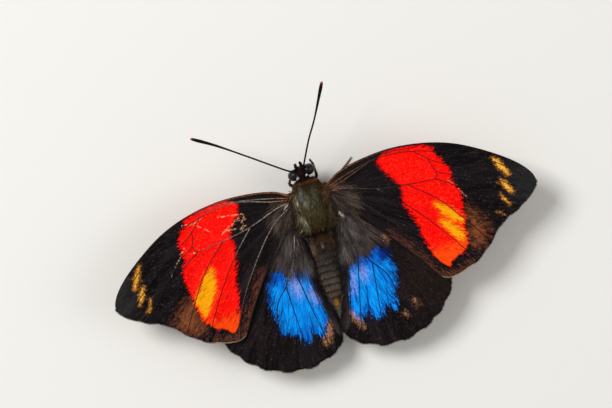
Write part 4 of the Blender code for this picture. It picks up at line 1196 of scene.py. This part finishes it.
def make_skin():
    """One skin over head, neck, thorax and abdomen, with the leg and feeler sockets drawn out of it."""
    parts = [loft(THORAX_SECTIONS, np.linspace(3.3, -7.85, 40), THORAX_COAT)]
    for (x, y, z), half_sizes in SHOULDERS:
        parts += [ball((side * x, y, z), half_sizes) for side in (1, -1)]
    parts.append(loft(
        ABDOMEN_SECTIONS, np.linspace(-7.6, -23.6, 160), ABDOMEN_COAT, abdomen_bend, abdomen_ring
    ))
    skull, faces = ball((0, 0, 0), [h - HEAD_COAT for h in HEAD_HALF])
    parts.append((np.array([in_head(p) for p in skull]), faces))
    parts += [
        rod(line, np.linspace(start, end, len(line)), sides) for line, start, end, sides in skin_stalks()
    ]
    points, faces, _ = joined(parts)
    rough = bpy.data.meshes.new("rough_skin")
    rough.from_pydata((points * MM).tolist(), [], faces)
    work = bpy.data.objects.new("rough_skin", rough)
    bpy.context.scene.collection.objects.link(work)
    remesh = work.modifiers.new("remesh", "REMESH")
    remesh.mode = "VOXEL"
    remesh.voxel_size = SKIN_VOXEL * MM
    soften = work.modifiers.new("soften", "SMOOTH")
    soften.factor = 0.5
    soften.iterations = 3
    graph = bpy.context.evaluated_depsgraph_get()
    made = bpy.data.meshes.new_from_object(work.evaluated_get(graph))
    bpy.data.objects.remove(work, do_unlink=True)
    spots = np.zeros(len(made.vertices) * 3)
    made.vertices.foreach_get("co", spots)
    spots = spots.reshape(-1, 3) / MM
    return make_piece(
        "body_skin", spots, [tuple(p.vertices) for p in made.polygons], BODY_SKIN,
        ("head", "thorax", "abdomen"), {"hue": body_colour(spots)},
    )


def scattered(skin, density, wanted):
    """Random places over the skin's faces, with their normals, where wanted says how likely each is."""
    mesh = skin.data
    count = len(mesh.polygons)
    area, middle, normal = np.zeros(count), np.zeros(count * 3), np.zeros(count * 3)
    mesh.polygons.foreach_get("area", area)
    mesh.polygons.foreach_get("center", middle)
    mesh.polygons.foreach_get("normal", normal)
    places = (middle.reshape(-1, 3) - MIDDLE) / MM
    chosen = np.repeat(np.arange(count), rng.poisson(density * area / MM ** 2 * wanted(places)))
    spots = places[chosen] + rng.normal(0, 0.04, (len(chosen), 3))
    return spots, normal.reshape(-1, 3)[chosen]


def on_thorax(places):
    return ((places[:, 1] < 3.2) & (places[:, 1] > -8.1)).astype(float)


def on_abdomen(places):
    return (places[:, 1] <= -8.3).astype(float)


def on_head(places):
    """The head apart from the eyes."""
    wanted = places[:, 1] > 3.1
    for side in (1, -1):
        middle = np.array(in_head((EYE_CENTRE_X, 0, 0), side))
        wanted &= np.linalg.norm((places - middle) / (np.array(EYE_HALF) * 1.03), axis=1) > 1.0
    return wanted.astype(float)


def uneven(colours, spread):
    """Every tuft a little darker or paler than its neighbours, some with a warm or a grey cast."""
    count = len(colours)
    shift = np.exp(rng.normal(0, spread, count))[:, None]
    cast = rng.normal(0, 0.12, count)[:, None] * np.array((1.0, 0.1, -1.0))
    return np.clip(colours * shift * (1 + cast), 0.0, 0.9)


THORAX_FUR = [  # name, tufts to a square millimetre, shortest and longest, thickness, lift, unevenness
    ("thorax_down", 110, (0.7, 1.2), 0.09, 0.32, 0.45), ("thorax_locks", 24, (1.2, 2.2), 0.16, 0.24, 0.55),
]


def make_thorax_fur(skin):
    """Short down with longer locks over it, brushed back and outwards."""
    for label, density, reach, girth, lift, spread in THORAX_FUR:
        roots, normals = scattered(skin, density, on_thorax)
        count = len(roots)
        x, y, _ = roots.T
        outward = np.where(y > 1.0, 0.2, 0.02) + 0.06 * np.clip(np.abs(x) - 2.8, 0, 1.5)
        outward += 0.45 * ramp(y, -4.8, -6.3) * ramp(np.abs(x), 1.2, 2.0)
        brushed_up = 1.2 * np.clip(normals[:, 1] - 0.3, 0.0, 1.0)
        lies = np.column_stack([outward * x, np.full(count, -1.0), brushed_up - 0.05])
        make_coat(
            label, roots, normals, combed(roots, lies, 0.5),
            rng.uniform(*reach, count) * np.interp(y, [-7.8, -6.2, 1.0, 2.6], [0.3, 1.0, 1.0, 0.5]),
            rng.uniform(0.7, 1.3, count) * girth, lift, 0.14, uneven(body_colour(roots), spread), "body_fur",
        )


def make_abdomen_hair(skin):
    """Flat hair-scales, longer at the sides near the waist."""
    roots, normals = scattered(skin, 85, on_abdomen)
    count = len(roots)
    side_hair = ramp(roots[:, 1], -13.5, -10.0) * np.clip(np.abs(normals[:, 0]) * 1.6, 0, 1)
    lies = np.column_stack([0.5 * side_hair * np.sign(normals[:, 0]), np.full(count, -1.0), np.zeros(count)])
    make_coat(
        "abdomen_hair", roots, normals, combed(roots, lies, 0.25),
        rng.uniform(0.3, 0.75, count) * (1 + 1.5 * side_hair), rng.uniform(0.07, 0.13, count), 0.24, 0.12,
        uneven(body_colour(roots + HAIR_MIDDLE), 0.3), "abdomen_scales",
    )


def make_head_hair(skin):
    """Short upright hair, with a white tuft by each eye's rear rim."""
    roots, normals = scattered(skin, 170, on_head)
    count = len(roots)
    lies = np.column_stack([0.2 * roots[:, 0], np.full(count, -0.6), np.full(count, 0.5)])
    make_coat(
        "head_hair", roots, normals, combed(roots, lies, 0.4), rng.uniform(0.3, 0.62, count),
        np.full(count, 0.08), 0.75, 0.25, uneven(body_colour(roots), 0.35), "head_scales",
    )
    count = 40
    for word, side in SIDES.items():
        roots = np.array(in_head(EYE_RIM_TUFTS[word], side)) + rng.normal(0, 0.11, (count, 3))
        ahead = Matrix.Rotation(HEAD_TURN, 3, "Z") @ Vector((side * 0.5, -0.6, 0.2))
        make_coat(
            f"eye_rim_tuft_{word}", roots, np.tile((0.0, -0.3, 0.95), (count, 1)), np.tile(ahead, (count, 1)),
            rng.uniform(0.3, 0.5, count), np.full(count, 0.1), 0.7, 0.2,
            np.tile(linear("FFFDF8"), (count, 1)), "head_scales",
        )


def make_eyes():
    """Two oval globes that stand out at the sides of the head."""
    for word, side in SIDES.items():
        points, faces = ball((side * EYE_CENTRE_X, 0, 0), EYE_HALF)
        placed = np.array([in_head(p) for p in points])
        make_piece(f"eye_{word}_globe", placed, faces, EYE_LENSES, (f"eye_{word}",))


# Feelers, legs and mouth

LIMB_SIDES = 12
FEELER_SHARES = [0, 0.06, 0.62, 0.8, 0.92, 0.985, 1.0]
FEELER_RADII = [0.2, 0.18, 0.18, 0.27, 0.36, 0.3, 0.12]
FEELER_JOINT = 0.42
LEG_RADII = [0.42, 0.34, 0.42, 0.3, 0.24, 0.27, 0.24, 0.2, 0.19, 0.13]
PALP_SHARES = [0, 0.3, 0.7, 0.95, 1]
PALP_RADII = [0.26, 0.26, 0.22, 0.12, 0.05]
PALP_HAIRS = 700
TONGUE_TURNS, TONGUE_STEPS = 1.25, 110
TONGUE_ROOT = -1.9  # height in the head's own measures


def make_antennae():
    """Slim jointed feelers that swell to a club with an orange tip."""
    for word, points in ANTENNA_PATHS.items():
        line = smooth_line(points, 0.08)
        run = run_along(line)
        share = run / run[-1]
        joint = np.cos(run / FEELER_JOINT * 2 * math.pi)
        colour = toward(np.tile(linear("060505"), (len(line), 1)), "3A332E", 0.2 * (joint > 0.93))
        colour = toward(colour, "B0441E", ramp(share, 0.978, 0.993))
        points, faces = rod(line, np.interp(share, FEELER_SHARES, FEELER_RADII) + 0.018 * joint, LIMB_SIDES)
        make_piece(
            f"antenna_{word}_rod", points, faces, FEELER_HORN, (f"antenna_{word}",),
            {"hue": np.repeat(colour, LIMB_SIDES, axis=0)},
        )


def leg_line(points):
    """A leg's course with its knees rounded a little."""
    known = [Vector(points[0]), Vector(points[1])]
    for before, joint, after in zip(points[1:], points[2:], points[3:]):
        before, joint, after = Vector(before), Vector(joint), Vector(after)
        known.append(joint - 0.3 * (joint - before).normalized())
        known.append(joint + 0.3 * (after - joint).normalized())
    known.append(Vector(points[-1]))
    line = [known[0]]
    for a, b in zip(known, known[1:]):
        parts = max(1, round((b - a).length / 0.1))
        line += [a + (b - a) * (k / parts) for k in range(1, parts + 1)]
    return np.array([tuple(p) for p in line])


def make_legs():
    """Thigh, shin and five-jointed foot with claws; the two front legs are small brushes."""
    for name, points in LEG_PATHS.items():
        line = leg_line(points)
        run = run_along(line)
        marks = [float(run[np.argmin(np.linalg.norm(line - np.array(p), axis=1))]) for p in points]
        hip, knee, ankle, foot, end = marks[1:]
        walking = not name.startswith("foreleg")
        stops = [0, hip, (hip + knee) / 2, knee - 0.2, knee, knee + 0.3, (knee + ankle) / 2, ankle, foot, end]
        radii = (1.0 if walking else 0.8) * np.interp(run, stops, LEG_RADII)
        toes = ramp(run, ankle, ankle + 0.1)
        joint = np.cos((run - ankle) / max((end - ankle) / 5, 0.2) * 2 * math.pi)
        radii += toes * 0.02 * joint
        tan = ramp(run, knee, knee + 0.6) * (0.55 + 0.45 * joint * toes)
        colour = toward(np.tile(linear("2A1F1A"), (len(line), 1)), "A07A56", tan * (1.0 if walking else 0.2))
        if walking:
            line[:, 2] = np.maximum(line[:, 2], radii + 0.005)
        body, faces = rod(line, radii, LIMB_SIDES)
        parts = [(body, faces, {"hue": np.repeat(colour, LIMB_SIDES, axis=0)})]
        if walking:
            parts += claws_and_spurs(line, run, ankle)
        body, faces, values = joined(parts)
        make_piece(f"{name}_limb", body, faces, LIMB_HORN, (name,), values)
        make_leg_hair(name, line, run, radii, colour, walking)


def claws_and_spurs(line, run, ankle):
    """Two hooked claws at the end and two spurs at the ankle."""
    ahead = unit(line[-1:] - line[-4:-3])[0]
    side = np.cross(ahead, (0, 0, 1.0))
    at = line[int(np.argmin(np.abs(run - ankle)))]
    parts = []
    for sign in (1, -1):
        start = line[-1] - 0.1 * ahead
        claw = smooth_line([
            start, start + 0.22 * ahead + sign * 0.12 * side + (0, 0, 0.04),
            start + 0.42 * ahead + sign * 0.16 * side + (0, 0, -0.06),
        ], 0.06)
        spur = np.linspace(at, at + 0.5 * ahead + sign * 0.2 * side + (0, 0, 0.1), 5)
        for course, thick in ((claw, 0.055), (spur, 0.06)):
            points, faces = rod(course, np.linspace(thick, 0.012, len(course)), 6)
            parts.append((points, faces, {"hue": np.tile(linear("1A120E"), (len(points), 1))}))
    return parts


def make_leg_hair(name, line, run, radii, colour, walking):
    """Short flat hair-scales along the leg, longer on the brush legs."""
    count = int(run[-1] * (60 if walking else 150))
    index = rng.integers(6, len(line) - 2, count)
    ahead = unit(np.gradient(line, axis=0))
    side = unit(np.cross(ahead, (0, 0, 1.0)))
    up = np.cross(side, ahead)
    turn = rng.uniform(0, 2 * math.pi, count)[:, None]
    normals = np.cos(turn) * side[index] + np.sin(turn) * up[index]
    roots = line[index] + 0.9 * radii[index][:, None] * normals
    keep = roots[:, 2] > 0.3
    roots, normals, index = roots[keep], normals[keep], index[keep]
    lengths = rng.uniform(0.5, 1.0, len(roots)) * (0.35 if walking else 0.6)
    make_coat(
        f"{name}_hair", roots, normals, ahead[index], lengths, np.full(len(roots), 0.06), 0.35, 0.1,
        colour[index], "leg",
    )


def make_palps():
    """Two upturned hairy palps."""
    for word, side in SIDES.items():
        line = smooth_line([in_head(p, side) for p in PALP_PATH], 0.08)
        radii = np.interp(np.linspace(0, 1, len(line)), PALP_SHARES, PALP_RADII)
        points, faces = rod(line, radii, LIMB_SIDES)
        dark = np.tile(linear("241612"), (len(points), 1))
        make_piece(f"palp_{word}_core", points, faces, LIMB_HORN, (f"palp_{word}",), {"hue": dark})
        index = rng.integers(4, len(line) - 1, PALP_HAIRS)
        ahead = unit(np.gradient(line, axis=0))[index]
        lead = rng.normal(0, 1, (PALP_HAIRS, 3))
        normals = unit(lead - np.sum(lead * ahead, axis=1)[:, None] * ahead)
        roots = line[index] + 0.9 * radii[index][:, None] * normals
        mixed = rng.uniform(0, 1, PALP_HAIRS)[:, None]
        make_coat(
            f"palp_{word}_hair", roots, normals, ahead, rng.uniform(0.2, 0.42, PALP_HAIRS),
            np.full(PALP_HAIRS, 0.05), 0.5, 0.1,
            linear("140C0A") * (1 - mixed) + linear("5A2E1A") * mixed ** 2, "palp",
        )


def make_proboscis():
    """The tongue, rolled up like a watch spring between and under the palps."""
    x, y, z = PROBOSCIS_AT
    course = [in_head((0.0, y + PROBOSCIS_COIL, TONGUE_ROOT))]
    for k in range(TONGUE_STEPS + 1):
        share = k / TONGUE_STEPS
        angle = -2 * math.pi * TONGUE_TURNS * share
        radius = PROBOSCIS_COIL * (1 - 0.62 * share)
        course.append(in_head((x, y + math.cos(angle) * radius, z + math.sin(angle) * radius)))
    ribs = 0.012 * np.cos(np.arange(len(course)) * math.pi / 2)
    points, faces = rod(course, np.linspace(0.19, 0.1, len(course)) + ribs, LIMB_SIDES)
    amber = np.tile(linear("6A3A1C"), (len(points), 1))
    make_piece("proboscis_coil", points, faces, LIMB_HORN, ("proboscis",), {"hue": amber})


# Floor, light and camera

FLOOR_HALF = 1.5
FILL_STRENGTH = 0.38
LAMPS = {  # place, width and power of each: one broad from the upper left of the picture, one faint opposite
    "key": ((-0.45, 0.45, 0.75), 0.4, 8.0), "kicker": ((0.6, -0.2, 0.5), 0.5, 1.5),
}
CAMERA_AXIS = (-1.13, -1.55)  # the place that the picture's middle looks down on
WING_PLANE = 8.5
CAMERA_RISE = 500.0
PICTURE_WIDTH = 125.46  # across the picture, at the wings
CAMERA_ROLL = -16.5
SENSOR_WIDTH = 36.0


def make_floor():
    """Plain pale matt paper."""
    mesh = bpy.data.meshes.new("floor")
    corners = [(x * FLOOR_HALF, y * FLOOR_HALF, 0) for x, y in ((-1, -1), (1, -1), (1, 1), (-1, 1))]
    mesh.from_pydata(corners, [], [(0, 1, 2, 3)])
    floor = bpy.data.objects.new("floor", mesh)
    bpy.context.scene.collection.objects.link(floor)
    paper, _, _ = new_finish("floor_paper", {
        "Base Color": (*linear("E6E4DF"), 1.0), "Roughness": 0.9, "Specular IOR Level": 0.1
    })
    mesh.materials.append(paper)


def make_light():
    """Soft lamps over an even white fill."""
    world = bpy.data.worlds.new("studio_fill")
    world.use_nodes = True
    fill = world.node_tree.nodes["Background"]
    fill.inputs["Color"].default_value = (1.0, 1.0, 1.0, 1.0)
    fill.inputs["Strength"].default_value = FILL_STRENGTH
    bpy.context.scene.world = world
    for label, (place, size, power) in LAMPS.items():
        light = bpy.data.lights.new(label, "AREA")
        light.size = size
        light.energy = power
        holder = bpy.data.objects.new(label, light)
        holder.location = place
        holder.rotation_euler = (-Vector(place)).to_track_quat("-Z", "Y").to_euler()
        bpy.context.scene.collection.objects.link(holder)


def make_camera():
    """Straight down on the wings, as the picture was taken."""
    data = bpy.data.cameras.new("camera")
    data.sensor_width = SENSOR_WIDTH
    data.lens = SENSOR_WIDTH * CAMERA_RISE / PICTURE_WIDTH
    data.clip_start, data.clip_end = 0.01, 10.0
    camera = bpy.data.objects.new("camera", data)
    camera.location = np.array((*CAMERA_AXIS, WING_PLANE + CAMERA_RISE)) * MM + MIDDLE
    camera.rotation_euler = (0.0, 0.0, math.radians(CAMERA_ROLL))
    bpy.context.scene.collection.objects.link(camera)
    bpy.context.scene.camera = camera


make_wings()
skin = make_skin()
make_thorax_fur(skin)
make_abdomen_hair(skin)
make_head_hair(skin)
make_eyes()
make_antennae()
make_legs()
make_palps()
make_proboscis()
make_floor()
make_light()
make_camera()
bpy.context.scene.view_settings.view_transform = "Standard"
